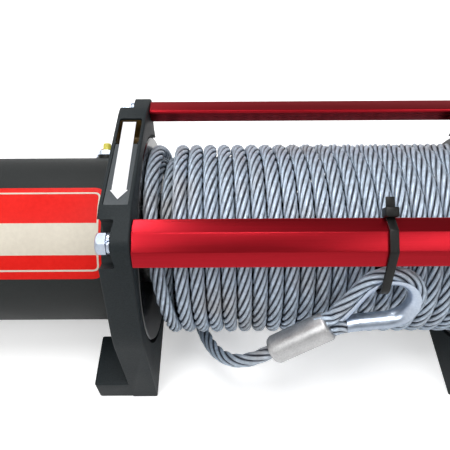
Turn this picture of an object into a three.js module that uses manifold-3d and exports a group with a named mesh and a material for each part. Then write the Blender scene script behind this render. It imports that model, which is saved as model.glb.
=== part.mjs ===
// Electric recovery winch: motor, two cast drum supports, rope drum and planetary gearbox.
// Millimetres. X runs along the drum from the motor to the gearbox, -Y is the front, +Z is up.
import * as THREE from 'three';
import { mergeVertices } from 'three/addons/utils/BufferGeometryUtils.js';
import Module from 'manifold-3d';

const wasm = await Module();
wasm.setup();

// Clearances and fits shared by every piece
const gap = 0.3;
const weld = 1e-4;
const overrun = 2;
const turn = 2 * Math.PI;
const degree = Math.PI / 180;

// Rope
const rope_d = 9;
const wrap_gap = 0.5;
const layer_rise = 8.3;
const layer_count = 4;
const rope_pitch = rope_d + wrap_gap;

// Drum
const drum_width = 212;
const barrel_r = 32;
const flange_r = 71;
const flange_t = 5.5;
const journal_r = 30;
const journal_len = 10;
const drum_bore_r = 22;

// Drum supports
const axis_height = 80;
const support_t = 18.4;
const support_half_depth = 84;
const support_top = 80.4;
const edge_chamfer = 1.2;
const recess_gap_r = 2;
const recess_gap_x = 0.8;
const bushing_t = 3.4;
const bushing_len = 9.2;
const support_lip_r = 26;

// Tie bars
const bar_reach = 88.3;
const bar_angle = 40.4 * degree;
const bar_lean = 36 * degree;
const bar_t = 13;
const bar_w = 26.2;
const bar_flat = 10.6;
const bar_nose = 1.6;
const boss_r = 8.5;

// Bolts
const bolt_d = 8;
const bolt_head_af = 13;
const bolt_head_t = 6;
const washer_t = 2;
const washer_split = 1.6;
const bolt_in_bar = 22;
const seat_depth = 7.7;

// Feet
const foot_reach = 42;
const foot_top = 22;
const foot_inner_half = 46.5;
const mount_spacing_x = 254;
const mount_spacing_y = 114.3;
const mount_hole_r = 5.3;
const nut_slot_w = 15;
const nut_slot_bottom = 9;
const nut_slot_h = 9.5;

// Motor
const motor_r = 57;
const motor_wall = 6;
const can_len = 158;
const cap_len = 32;
const cap_round = 10;
const armature_r = 37.5;
const armature_len = 74;
const motor_shaft_r = 7;
const commutator_r = 20;
const commutator_len = 26;

// Drive line
const hex_af = 10;
const hex_gap = 0.4;

// Gearbox
const gear_face_r = 64;
const gear_wall = 7;
const cover_t = 12;
const ring_pitch_r = 48;
const planet_teeth = 18;
const first_sun_teeth = 9;
const later_sun_teeth = 12;
const planet_count = 3;
const plate_t = 6;
const stage_gap = 1;
const gear_len = 81;
const cover_clear = 3;
const face_shares = [6, 8, 13];

const hex_corner_share = 1 / Math.cos(Math.PI / 6);
const inner_x = drum_width / 2;
const outer_x = inner_x + support_t;
const motor_end_x = outer_x + can_len + cap_len;
const gear_end_x = outer_x + gear_len + cover_t;

// Geometry helpers
function outward(geometry) {
  const bare = geometry.index ? geometry.toNonIndexed() : geometry.clone();
  bare.deleteAttribute('normal');
  bare.deleteAttribute('uv');
  const merged = mergeVertices(bare, weld);
  const p = merged.attributes.position;
  const index = Array.from(merged.index.array);
  const kept = [];
  let volume = 0;
  const [a, b, c] = [new THREE.Vector3(), new THREE.Vector3(), new THREE.Vector3()];
  for (let i = 0; i < index.length; i += 3) {
    const [i0, i1, i2] = [index[i], index[i + 1], index[i + 2]];
    if (i0 === i1 || i1 === i2 || i2 === i0) continue;
    kept.push(i0, i1, i2);
    a.fromBufferAttribute(p, i0);
    b.fromBufferAttribute(p, i1);
    c.fromBufferAttribute(p, i2);
    volume += a.dot(b.cross(c));
  }
  if (volume < 0) {
    for (let i = 0; i < kept.length; i += 3) [kept[i + 1], kept[i + 2]] = [kept[i + 2], kept[i + 1]];
  }
  merged.setIndex(kept);
  return merged;
}

function solid(geometry) {
  const closed = outward(geometry);
  const mesh = new wasm.Mesh({
    numProp: 3,
    vertProperties: new Float32Array(closed.attributes.position.array),
    triVerts: new Uint32Array(closed.index.array),
  });
  return new wasm.Manifold(mesh);
}

function geometryOf(body) {
  const mesh = body.getMesh();
  const geometry = new THREE.BufferGeometry();
  geometry.setAttribute('position', new THREE.BufferAttribute(mesh.vertProperties, 3));
  geometry.setIndex(new THREE.BufferAttribute(mesh.triVerts, 1));
  return geometry;
}

const join = (...bodies) => bodies.reduce((sum, body) => sum.add(body));
const cut = (body, ...tools) => tools.reduce((rest, tool) => rest.subtract(tool), body);

// A shape drawn in (Y, Z) and extruded along X from x0 to x1
const alongX = new THREE.Matrix4().makeBasis(
  new THREE.Vector3(0, 1, 0), new THREE.Vector3(0, 0, 1), new THREE.Vector3(1, 0, 0));

function extrudeX(shape, x0, x1) {
  const geometry = new THREE.ExtrudeGeometry(shape, { depth: x1 - x0, bevelEnabled: false });
  geometry.translate(0, 0, x0);
  geometry.applyMatrix4(alongX);
  return geometry;
}

// A profile of [x, radius] points turned about the X axis
function turned(profile, sides) {
  const points = profile.map(([x, r]) => new THREE.Vector2(r, x));
  const geometry = new THREE.LatheGeometry(points, sides);
  geometry.rotateZ(-Math.PI / 2);
  return geometry;
}

const rod = (r, x0, x1, sides = 24) => turned([[x0, 0], [x0, r], [x1, r], [x1, 0]], sides);

function ring(inner, outer, x0, x1, sides = 32) {
  return turned([[x0, inner], [x0, outer], [x1, outer], [x1, inner], [x0, inner]], sides);
}

function block(x0, x1, y0, y1, z0, z1) {
  const geometry = new THREE.BoxGeometry(x1 - x0, y1 - y0, z1 - z0);
  geometry.translate((x0 + x1) / 2, (y0 + y1) / 2, (z0 + z1) / 2);
  return geometry;
}

function upright(r, x, y, z0, z1, sides = 16) {
  const geometry = new THREE.CylinderGeometry(r, r, z1 - z0, sides);
  geometry.rotateX(Math.PI / 2);
  geometry.translate(x, y, (z0 + z1) / 2);
  return geometry;
}

const polar = (r, angle) => new THREE.Vector2(r * Math.cos(angle), r * Math.sin(angle));

function hexagon(across_flats) {
  const corner_r = across_flats / 2 * hex_corner_share;
  return new THREE.Shape(Array.from({ length: 6 }, (_, k) => polar(corner_r, k * turn / 6)));
}

const moved = (geometry, x, y, z) => geometry.translate(x, y, z);
const spun = (geometry, angle) => geometry.rotateX(angle);

// Closed tube or strip: a section swept along frames of { at, side, up }
function sweep(frames, drawn) {
  const outline = drawn.map(([s, u]) => new THREE.Vector2(s, u));
  const section = THREE.ShapeUtils.area(outline) > 0 ? drawn : drawn.slice().reverse();
  const positions = [];
  const index = [];
  const n = section.length;
  for (const { at, side, up } of frames) {
    for (const [s, u] of section) {
      const p = at.clone().addScaledVector(side, s).addScaledVector(up, u);
      positions.push(p.x, p.y, p.z);
    }
  }
  for (let i = 0; i + 1 < frames.length; i++) {
    for (let j = 0; j < n; j++) {
      const a = i * n + j;
      const b = i * n + (j + 1) % n;
      index.push(a, b, b + n, a, b + n, a + n);
    }
  }
  const caps = THREE.ShapeUtils.triangulateShape(section.map(([s, u]) => new THREE.Vector2(s, u)), []);
  const last = (frames.length - 1) * n;
  for (const [a, b, c] of caps) {
    index.push(a, c, b);
    index.push(last + a, last + b, last + c);
  }
  const geometry = new THREE.BufferGeometry();
  geometry.setAttribute('position', new THREE.Float32BufferAttribute(positions, 3));
  geometry.setIndex(index);
  return geometry;
}

function roundSection(r, sides) {
  return Array.from({ length: sides }, (_, k) => polar(r, k * turn / sides).toArray());
}

// Frames along a smooth curve, kept free of twist by carrying one side vector
function curveFrames(curve, steps, first_side) {
  const frames = [];
  let side = first_side.clone();
  for (let i = 0; i <= steps; i++) {
    const tangent = curve.getTangentAt(i / steps);
    side = side.clone().addScaledVector(tangent, -side.dot(tangent)).normalize();
    const up = new THREE.Vector3().crossVectors(tangent, side);
    frames.push({ at: curve.getPointAt(i / steps), side, up });
  }
  return frames;
}

// Finishes
function paint(color, roughness, metalness) {
  return new THREE.MeshStandardMaterial({ color, roughness, metalness });
}

const finishes = {
  casting: paint(0x2a2c2e, 0.55, 0.2),
  motor_black: paint(0x17191b, 0.45, 0.3),
  anodised: paint(0xa01020, 0.3, 0.8),
  zinc: paint(0xc8ccd4, 0.35, 0.9),
  steel: paint(0x8c9096, 0.4, 0.9),
  wire: paint(0xa8b0ba, 0.4, 0.8),
  copper: paint(0xb06a3a, 0.4, 0.9),
  bronze: paint(0xa8874a, 0.45, 0.8),
  ferrule: paint(0xb4b8bc, 0.45, 0.8),
  plastic: paint(0x101112, 0.5, 0),
  yellow: paint(0xd8cf50, 0.5, 0),
};

const winch = new THREE.Group();
const assembly = new THREE.Group();
assembly.position.set((motor_end_x - gear_end_x) / 2, 0, axis_height);
winch.add(assembly);

function add(name, piece, finish) {
  const geometry = piece instanceof THREE.BufferGeometry ? outward(piece) : geometryOf(piece);
  const mesh = new THREE.Mesh(geometry, finish);
  mesh.name = name;
  assembly.add(mesh);
}

// A piece drawn for the gearbox side, turned round to the motor side
function mirrored(body) {
  const geometry = geometryOf(body);
  geometry.scale(-1, 1, 1);
  return outward(geometry);
}

// Drum supports: one outline with a boss at each tie bar, seen along the drum axis
const bar_y = bar_reach * Math.sin(bar_angle);
const bar_z = bar_reach * Math.cos(bar_angle);
const crown_half_share = 0.5;
const front_knee_share = 0.05;
const rear_flank_shares = [[1, -0.3], [0.714, 0.43], [0.69, 0.655]];
const boss_arc_from = 15 * degree;
const boss_arc_step = 16 * degree;

function supportOutline() {
  const half = support_half_depth;
  const boss = Array.from({ length: 5 }, (_, k) => {
    const p = polar(boss_r, boss_arc_from + k * boss_arc_step);
    return [bar_y + p.x, bar_z + p.y];
  });
  const crown = [half * crown_half_share, support_top];
  const rear_flank = rear_flank_shares.map(([y, z]) => [half * y, half * z]);
  const rear = [[half, -axis_height], ...rear_flank, ...boss, crown];
  const front_half = [[half, -axis_height], [half, half * front_knee_share], ...boss, crown];
  const front = front_half.map(([y, z]) => [-y, z]).reverse();
  return new THREE.Shape([...rear, ...front].map(([y, z]) => new THREE.Vector2(y, z)));
}

const pocket_from = 9.4;
const pocket_to = 33.1;
const pocket_wall = 2.2;
const pocket_depth = 16;
const panel_to = 40.8;
const panel_depth = 1;
const arch_half = 34;
const arch_h = 9;
const notch_r = 13.5;
const bearing_sides = 28;
const bushing_r = journal_r / Math.cos(turn / 2 / bearing_sides) + gap;
const web_bore_r = bushing_r + bushing_t + gap;
const web_x = inner_x + flange_t + recess_gap_x;
const notch_x = outer_x - seat_depth;
const foot_x = inner_x + foot_reach;
const mount_x = mount_spacing_x / 2;
const mount_y = mount_spacing_y / 2;
const hole_r = bolt_d / 2 + gap;

function foot(sign) {
  const y0 = sign < 0 ? -support_half_depth : foot_inner_half;
  const y1 = sign < 0 ? -foot_inner_half : support_half_depth;
  return solid(block(notch_x, foot_x, y0, y1, -axis_height, foot_top - axis_height));
}

function mountCuts(sign) {
  const y = sign * mount_y;
  const slot_z = nut_slot_bottom - axis_height;
  const half = nut_slot_w / 2;
  const slot_x = mount_x - half;
  return [
    solid(upright(mount_hole_r, mount_x, y, -axis_height - overrun, foot_top - axis_height + overrun, 12)),
    solid(block(slot_x, foot_x + overrun, y - half, y + half, slot_z, slot_z + nut_slot_h)),
  ];
}

function barCuts(sign) {
  const seat = rod(notch_r, notch_x, outer_x + overrun, 16);
  const hole = rod(hole_r, inner_x - overrun, outer_x, 10);
  return [seat, hole].map((tool) => solid(moved(tool, 0, sign * bar_y, bar_z)));
}

function drumSupport() {
  const body = join(solid(extrudeX(supportOutline(), inner_x, outer_x)), foot(-1), foot(1));
  const [x0, x1] = [inner_x + pocket_wall, outer_x - pocket_wall];
  const above = support_top + overrun;
  const below = -axis_height - overrun;
  return cut(
    body,
    solid(rod(flange_r + recess_gap_r, inner_x - overrun, web_x, bearing_sides)),
    solid(rod(web_bore_r, inner_x, web_x + bushing_len + gap, bearing_sides)),
    solid(rod(support_lip_r, inner_x, outer_x + overrun, 20)),
    solid(block(x0, x1, pocket_from, pocket_to, support_top - pocket_depth, above)),
    solid(block(x0, x1, -panel_to, pocket_from, support_top - panel_depth, above)),
    solid(block(web_x, outer_x + overrun, -arch_half, arch_half, below, arch_h - axis_height)),
    ...barCuts(-1), ...barCuts(1), ...mountCuts(-1), ...mountCuts(1),
  );
}

add('motor_side_support', mirrored(drumSupport()), finishes.casting);
add('gear_side_support', drumSupport(), finishes.casting);

// Tie bars: flat hexagonal section with a narrow nose on each long edge
const bar_x = inner_x - gap;

function tieBar(sign) {
  const out = bar_t / 2;
  const wide = bar_w / 2;
  const corners = [
    [out, -bar_flat / 2], [out, bar_flat / 2], [bar_nose / 2, wide], [-bar_nose / 2, wide],
    [-out, bar_flat / 2], [-out, -bar_flat / 2], [-bar_nose / 2, -wide], [bar_nose / 2, -wide],
  ];
  const lean = Math.PI / 2 - sign * bar_lean;
  const centre = new THREE.Vector2(sign * bar_y, bar_z);
  const points = corners.map(([r, t]) => (
    new THREE.Vector2(r, t).rotateAround(new THREE.Vector2(), lean).add(centre)));
  const bar = solid(extrudeX(new THREE.Shape(points), -bar_x, bar_x));
  const depth = bolt_in_bar + gap;
  const left = solid(moved(rod(hole_r, -bar_x - overrun, depth - bar_x, 10), 0, sign * bar_y, bar_z));
  const right = solid(moved(rod(hole_r, bar_x - depth, bar_x + overrun, 10), 0, sign * bar_y, bar_z));
  return cut(bar, left, right);
}

add('front_tie_bar', tieBar(-1), finishes.anodised);
add('rear_tie_bar', tieBar(1), finishes.anodised);

// Tie bar bolts and split lock washers, seated in the support's notches
const washer_x = notch_x + gap;
const split_angle = 120 * degree;
const head_x = washer_x + washer_t + gap;

function tieBolt(sign) {
  const head = solid(extrudeX(hexagon(bolt_head_af), head_x, head_x + bolt_head_t));
  const dome = solid(turned([
    [head_x - overrun, 0], [head_x - overrun, bolt_head_af],
    [head_x + bolt_head_t - edge_chamfer / 2, bolt_head_af / 2 * hex_corner_share],
    [head_x + bolt_head_t, bolt_head_af / 2], [head_x + bolt_head_t, 0],
  ], 12));
  const shank = solid(rod(bolt_d / 2, bar_x - bolt_in_bar, head_x + washer_t, 10));
  const bolt = join(head.intersect(dome), shank);
  return bolt.translate([0, sign * bar_y, bar_z]);
}

function lockWasher(sign) {
  const band = solid(ring(bolt_d / 2 + gap, bolt_head_af / 2, washer_x, washer_x + washer_t, 12));
  const split = block(washer_x - overrun, washer_x + overrun * 2, 0, bolt_head_af, 0, washer_split);
  return band.subtract(solid(spun(split, split_angle))).translate([0, sign * bar_y, bar_z]);
}

for (const [place, sign] of [['front', -1], ['rear', 1]]) {
  add(`${place}_bolt_motor_side`, mirrored(tieBolt(sign)), finishes.zinc);
  add(`${place}_bolt_gear_side`, tieBolt(sign), finishes.zinc);
  add(`${place}_lock_washer_motor_side`, mirrored(lockWasher(sign)), finishes.zinc);
  add(`${place}_lock_washer_gear_side`, lockWasher(sign), finishes.zinc);
}

// Drum: barrel, two flanges and two hollow journals in one welded piece
const journal_x = inner_x + flange_t + journal_len;

function drumProfile() {
  const side = [
    [inner_x, barrel_r], [inner_x, flange_r], [inner_x + flange_t, flange_r],
    [inner_x + flange_t, journal_r], [journal_x, journal_r], [journal_x, drum_bore_r],
  ];
  const other = side.slice().reverse().map(([x, r]) => [-x, r]);
  return [...side, ...other, side[0]];
}

add('rope_drum', turned(drumProfile(), bearing_sides), finishes.steel);

const bushing = ring(bushing_r, bushing_r + bushing_t, web_x + gap, web_x + bushing_len, bearing_sides);
add('gear_side_bushing', bushing, finishes.bronze);
add('motor_side_bushing', mirrored(solid(bushing)), finishes.bronze);

// Rope on the drum: the outer layer winds as one tube over a plain core of the lower layers
const outer_wrap_r = barrel_r + rope_d / 2 + layer_rise * (layer_count - 1);
const wrap_steps = 18;
const wrap_sides = 6;
const core_r = (outer_wrap_r - rope_d / 2) * Math.cos(turn / 2 / wrap_steps) - gap;
const flange_wrap_x = -inner_x + gap + rope_d / 2;
const last_wrap_x = inner_x - gap - rope_d / 2;
const layer_lead_share = 0.55;
const leave_flange_share = 0.28;
const reach_layer_share = 0.56;
const wrap_count = (last_wrap_x - flange_wrap_x) / rope_pitch - layer_lead_share;

add('rope_lower_layers', ring(barrel_r + gap, core_r, -inner_x + gap, inner_x - gap, 28), finishes.wire);

// X of the rope after a number of turns from its free end: it starts against the flange,
// crosses to the regular layer within half a turn, then advances one pitch per turn
function wrapX(turns) {
  const regular = flange_wrap_x + rope_pitch * (layer_lead_share + turns);
  const share = (turns - leave_flange_share) / (reach_layer_share - leave_flange_share);
  const blend = THREE.MathUtils.smoothstep(share, 0, 1);
  return flange_wrap_x * (1 - blend) + Math.min(regular, last_wrap_x) * blend;
}

function wrapFrames() {
  const frames = [];
  const count = Math.round(wrap_count * wrap_steps);
  for (let i = 0; i <= count; i++) {
    const angle = i * turn / wrap_steps;
    const radial = new THREE.Vector3(0, Math.cos(angle), Math.sin(angle));
    const at = radial.clone().multiplyScalar(outer_wrap_r).setX(wrapX(i / wrap_steps));
    frames.push({ at, side: new THREE.Vector3(1, 0, 0), up: radial });
  }
  const straight = (frame, next) => {
    const away = frame.at.clone().sub(next.at).normalize();
    const tangent = new THREE.Vector3().crossVectors(frame.side, frame.up);
    tangent.multiplyScalar(Math.sign(tangent.dot(away)));
    return { ...frame, at: frame.at.clone().addScaledVector(tangent, rope_d) };
  };
  const first = straight(frames[0], frames[1]);
  const last = straight(frames[count], frames[count - 1]);
  return [first, ...frames, last];
}

function leastSelfGap(frames, section) {
  const ringPoints = frames.map(({ at, side, up }) => section.map(([s, u]) => (
    at.clone().addScaledVector(side, s).addScaledVector(up, u))));
  let least = Infinity;
  for (let i = 0; i < frames.length; i++) {
    for (let j = i + wrap_steps / 2; j < Math.min(frames.length, i + wrap_steps * 1.5); j++) {
      for (const p of ringPoints[i]) for (const q of ringPoints[j]) least = Math.min(least, p.distanceTo(q));
    }
  }
  return least;
}

const wrap_frames = wrapFrames();
const wrap_section = roundSection(rope_d / 2, wrap_sides).map(([s, u]) => [u, s]);
add('rope_outer_layer', sweep(wrap_frames, wrap_section), finishes.wire);
const least_gap = leastSelfGap(wrap_frames, wrap_section);
console.log(`least gap of the outer layer to itself: ${least_gap.toFixed(2)} mm`);

// Rope eye in front of the drum: a plane that leans with the pile, an axis that rises to the right
const eye_plane_angle = 163 * degree;
const eye_stand_off = 75.4;
const eye_slope = 33.5 * degree;
const eye_mouth_x = 6.4;
const eye_mouth_down = 12;
const eye_centre = 37;
const eye_r = 18.1;
const eye_arc_half = 117 * degree;
const eye_arc_steps = 9;
const eye_leg_points = [[5, 4.85], [9, 6.1], [11, 7.2], [18, 10.7]];
const leg_offset = rope_d / 2 + wrap_gap / 2;
const ferrule_r = 9;
const ferrule_len = 40;
const thimble_t = 1.5;
const thimble_wrap = 62 * degree;
const thimble_from = eye_leg_points[2][0];

const eye_normal = new THREE.Vector3(0, Math.cos(eye_plane_angle), Math.sin(eye_plane_angle));
const eye_down = new THREE.Vector3(0, -Math.sin(eye_plane_angle), Math.cos(eye_plane_angle));
const eye_right = new THREE.Vector3(1, 0, 0);
const eye_axis = eye_right.clone().multiplyScalar(Math.cos(eye_slope))
  .addScaledVector(eye_down, -Math.sin(eye_slope));
const eye_across = new THREE.Vector3().crossVectors(eye_normal, eye_axis);
const eye_mouth = eye_normal.clone().multiplyScalar(eye_stand_off)
  .addScaledVector(eye_right, eye_mouth_x).addScaledVector(eye_down, eye_mouth_down);

const onEye = (a, b) => eye_mouth.clone().addScaledVector(eye_axis, a).addScaledVector(eye_across, b);

// The eye's centre line: two legs out of the ferrule, then round the thimble
function eyeCurve(from) {
  const legs = [[gap, leg_offset], ...eye_leg_points].filter(([a]) => a >= from);
  const arc = Array.from({ length: eye_arc_steps + 1 }, (_, k) => {
    const p = polar(eye_r, eye_arc_half * (1 - 2 * k / eye_arc_steps));
    return [eye_centre + p.x, p.y];
  });
  const back = legs.slice().reverse().map(([a, b]) => [a, -b]);
  return new THREE.CatmullRomCurve3([...legs, ...arc, ...back].map(([a, b]) => onEye(a, b)));
}

const eye_steps = 26;
const cord_sides = 8;
const cord_section = roundSection(rope_d / 2, cord_sides);
const eye_curve = eyeCurve(0);
add('rope_eye', sweep(curveFrames(eye_curve, eye_steps, eye_normal), cord_section), finishes.wire);

function thimbleSection() {
  const spread = Array.from({ length: 5 }, (_, k) => thimble_wrap * (k / 2 - 1));
  const groove = rope_d / 2 + gap;
  const inner = spread.map((angle) => [groove * Math.sin(angle), groove * Math.cos(angle)]);
  const outer = spread.slice().reverse().map((angle) => [
    (groove + thimble_t) * Math.sin(angle), (groove + thimble_t) * Math.cos(angle)]);
  return [...inner, ...outer];
}

const thimble_curve = eyeCurve(thimble_from);
const thimble_steps = 18;
const thimble_frames = curveFrames(thimble_curve, thimble_steps, eye_normal);
const crown = thimble_frames[thimble_steps / 2];
const inward = crown.up.dot(onEye(eye_centre, 0).sub(crown.at)) > 0 ? 1 : -1;
add('rope_thimble', sweep(thimble_frames, thimbleSection().map(([s, u]) => [s, u * inward])), finishes.zinc);

function ferruleBody() {
  const c = edge_chamfer;
  const profile = [
    [0, 0], [0, ferrule_r - c], [c, ferrule_r], [ferrule_len - c, ferrule_r], [ferrule_len, ferrule_r - c],
    [ferrule_len, 0],
  ];
  const geometry = turned(profile, 16);
  const [back, side] = [eye_axis.clone().negate(), eye_across.clone().negate()];
  geometry.applyMatrix4(new THREE.Matrix4().makeBasis(back, side, eye_normal));
  return moved(geometry, eye_mouth.x, eye_mouth.y, eye_mouth.z);
}

add('rope_ferrule', ferruleBody(), finishes.ferrule);

// Free end of the rope, from the ferrule down and round under the pile to the motor side flange.
// Places chosen by hand, measured from the middle of the drum axis.
const tail_points = [
  [-27.7, -82.2, -11.0], [-37.0, -83.6, -17.2], [-45.6, -82.2, -24.4], [-53.4, -77.6, -32.6],
  [-60.0, -70.2, -41.0], [-65.8, -60.6, -48.9], [-70.4, -49.8, -55.7], [-74.2, -38.4, -61.1],
  [-77.4, -26.1, -66.3], [-80.4, -11.0, -70.5], [-83.4, 5.0, -71.2], [-86.4, 20.8, -68.3],
  [-89.4, 35.7, -61.8], [-92.2, 48.6, -52.2], [-95.0, 59.1, -40.0], [-97.8, 66.7, -25.6],
  [-100.6, 70.7, -9.9],
];
const tail_curve = new THREE.CatmullRomCurve3(tail_points.map((p) => new THREE.Vector3(...p)));
const tail_steps = 20;
const tail_frames = curveFrames(tail_curve, tail_steps, new THREE.Vector3(0, 0, 1));
add('rope_tail', sweep(tail_frames, cord_section), finishes.wire);

// Cable tie round the front bar and the eye's upper leg
const tie_x = 32;
const tie_w = 4.8;
const tie_t = 1.3;
const tie_slack = 0.8;
const tie_leg_reach = 6;
const tie_head_w = 7.4;
const tie_head_h = 8;
const tie_head_t = 5.4;
const tie_stub = 6;

function hull(points) {
  const sorted = points.slice().sort((p, q) => p.x - q.x || p.y - q.y);
  const chain = (list) => {
    const kept = [];
    for (const p of list) {
      while (kept.length > 1) {
        const [a, b] = kept.slice(-2);
        if ((b.x - a.x) * (p.y - a.y) - (b.y - a.y) * (p.x - a.x) > 0) break;
        kept.pop();
      }
      kept.push(p);
    }
    return kept.slice(0, -1);
  };
  return [...chain(sorted), ...chain(sorted.reverse())];
}

function tiePath(extra) {
  const out = new THREE.Vector2(-Math.sin(bar_lean), Math.cos(bar_lean));
  const along = new THREE.Vector2(out.y, -out.x);
  const bar = new THREE.Vector2(-bar_y, bar_z);
  const corners = [
    [bar_t / 2, -bar_flat / 2], [bar_t / 2, bar_flat / 2], [0, bar_w / 2], [-bar_t / 2, bar_flat / 2],
    [-bar_t / 2, -bar_flat / 2], [0, -bar_w / 2],
  ];
  const circles = corners.map(([r, t]) => ({
    at: bar.clone().addScaledVector(out, r).addScaledVector(along, t), r: tie_slack + extra, sides: 8 }));
  for (const x of [tie_x - tie_leg_reach, tie_x + tie_leg_reach]) {
    const leg = upperLegAt(x);
    const r = rope_d / 2 + gap + thimble_t + tie_slack + extra;
    circles.push({ at: new THREE.Vector2(leg.y, leg.z), r, sides: 16 });
  }
  const points = circles.flatMap(({ at, r, sides }) => (
    Array.from({ length: sides }, (_, k) => polar(r, k * turn / sides).add(at))));
  return hull(points);
}

// The point of the eye's centre line above its axis at a given X
function upperLegAt(x) {
  const samples = eye_curve.getSpacedPoints(eye_samples);
  const upper = samples.filter((p) => p.clone().sub(eye_mouth).dot(eye_across) > 0);
  return upper.reduce((best, p) => (Math.abs(p.x - x) < Math.abs(best.x - x) ? p : best));
}

const eye_samples = 400;

function cableTie() {
  const band = new THREE.Shape(tiePath(tie_t));
  band.holes.push(new THREE.Path(tiePath(0)));
  const x0 = tie_x - tie_w / 2;
  const strap = solid(extrudeX(band, x0, x0 + tie_w));
  const out = new THREE.Vector3(0, -Math.sin(bar_lean), Math.cos(bar_lean));
  const up = new THREE.Vector3(0, Math.cos(bar_lean), Math.sin(bar_lean));
  const bar = new THREE.Vector3(0, -bar_y, bar_z);
  const basis = new THREE.Matrix4().makeBasis(eye_right, up, out.clone().negate());
  const lift = bar_w / 2 + tie_slack + tie_head_t / 2 + gap;
  const place = (geometry, u) => {
    geometry.applyMatrix4(basis);
    const at = bar.clone().addScaledVector(up, u);
    return solid(moved(geometry, tie_x, at.y, at.z));
  };
  const head = place(new THREE.BoxGeometry(tie_head_w, tie_head_t, tie_head_h), lift);
  const stub_lift = lift + tie_head_t / 2 + tie_stub / 2 - gap;
  const stub = place(new THREE.BoxGeometry(tie_w, tie_stub, tie_t), stub_lift);
  return join(strap, head, stub);
}

add('cable_tie', cableTie(), finishes.plastic);

// Motor: can, end cap, four field poles, armature, commutator and brush ring
const can_x1 = outer_x + gap;
const can_x2 = outer_x + can_len;
const motor_inner_r = motor_r - motor_wall;
const shaft_clear_r = motor_shaft_r / Math.cos(turn / 24) + gap;
const round_sides = 32;

function motorCan() {
  return ring(motor_inner_r, motor_r, can_x1, can_x2, round_sides);
}

function endCap() {
  const x = can_x2 + gap;
  const end = motor_end_x;
  const edge = Array.from({ length: 3 }, (_, k) => {
    const p = polar(cap_round, k * turn / 8);
    return [end - cap_round + p.y, motor_r - cap_round + p.x];
  });
  const floor_x = end - motor_wall;
  const bearing_x = floor_x - cap_len / 2;
  const bore_r = motor_shaft_r + gap;
  return turned([
    [x, motor_inner_r], [x, motor_r], ...edge, [end, 0], [floor_x, 0], [floor_x, bore_r],
    [bearing_x, bore_r], [bearing_x, motor_shaft_r + motor_wall],
    [floor_x, motor_shaft_r + motor_wall * 2], [floor_x, motor_inner_r - cap_round],
    [x, motor_inner_r],
  ], round_sides);
}

const armature_inset = 20;
const armature_x1 = can_x1 + armature_inset;
const armature_x2 = armature_x1 + armature_len;
const pole_gap = 1;
const pole_count = 4;
const pole_half = 26 * degree;
const coil_half = 38 * degree;
const coil_gap = 1.2;

function arcBlock(r0, r1, half_angle, steps, x0, x1) {
  const outer = Array.from({ length: steps + 1 }, (_, k) => polar(r1, half_angle * (2 * k / steps - 1)));
  const inner = Array.from({ length: steps + 1 }, (_, k) => polar(r0, half_angle * (1 - 2 * k / steps)));
  return extrudeX(new THREE.Shape([...outer, ...inner]), x0, x1);
}

function fieldPole(k) {
  const shoe_r = armature_r + pole_gap;
  const coil_r = shoe_r + motor_wall / 2;
  const coil_x1 = armature_x1 - motor_wall;
  const coil_x2 = armature_x2 + motor_wall;
  const shoe = solid(arcBlock(shoe_r, motor_inner_r - coil_gap, pole_half, 2, armature_x1, armature_x2));
  const coil = solid(arcBlock(coil_r, motor_inner_r - coil_gap, coil_half, 2, coil_x1, coil_x2));
  return spun(geometryOf(join(shoe, coil)), (k + 1 / 2) * turn / pole_count);
}

function armatureCore() {
  const slots = 12;
  const slot_half_share = 0.2;
  const slot_depth = 9;
  const points = [];
  for (let k = 0; k < slots; k++) {
    const step = turn / slots;
    const a = k * step;
    const h = slot_half_share * step;
    points.push(polar(armature_r, a + h), polar(armature_r, a + step - h));
    points.push(polar(armature_r - slot_depth, a + step - h), polar(armature_r - slot_depth, a + step + h));
  }
  const stack = solid(extrudeX(new THREE.Shape(points), armature_x1, armature_x2));
  const winding_r = armature_r - slot_depth / 2;
  const winding_over = 11;
  const windings = solid(turned([
    [armature_x1 - winding_over, 0], [armature_x1 - winding_over, winding_r - motor_wall],
    [armature_x1 - winding_over / 2, winding_r], [armature_x2 + winding_over / 2, winding_r],
    [armature_x2 + winding_over, winding_r - motor_wall], [armature_x2 + winding_over, 0],
  ], 12));
  const bore = solid(rod(shaft_clear_r, armature_x1 - armature_len, armature_x2 + armature_len, 12));
  return join(stack, windings).subtract(bore);
}

const commutator_gap = 12;
const commutator_x = armature_x2 + commutator_gap;
const brush_count = 4;
const brush_w = 12;

function commutatorBody() {
  const bars = 14;
  const groove_share = 0.1;
  const groove_depth = 1.2;
  const points = [];
  for (let k = 0; k < bars; k++) {
    const a = k * turn / bars;
    const h = turn / bars;
    points.push(polar(commutator_r, a + groove_share * h), polar(commutator_r, a + h - groove_share * h));
    points.push(polar(commutator_r - groove_depth, a + h));
  }
  const body = solid(extrudeX(new THREE.Shape(points), commutator_x, commutator_x + commutator_len));
  const bore = rod(shaft_clear_r, commutator_x - overrun, commutator_x + commutator_len + overrun, 12);
  return body.subtract(solid(bore));
}

function brushRing() {
  const x1 = commutator_x + commutator_len - brush_w;
  const [plate_r0, plate_r1] = [commutator_r + motor_wall, motor_inner_r - coil_gap];
  const plate = solid(ring(plate_r0, plate_r1, x1 - plate_t / 2, x1, 24));
  const [holder_z0, holder_z1] = [commutator_r + gap, motor_inner_r - motor_wall];
  const half = brush_w / 2;
  const holders = Array.from({ length: brush_count }, (_, k) => {
    const box = block(x1 - brush_w, x1, -half, half, holder_z0, holder_z1);
    return solid(spun(box, k * turn / brush_count));
  });
  return join(plate, ...holders);
}

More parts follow.
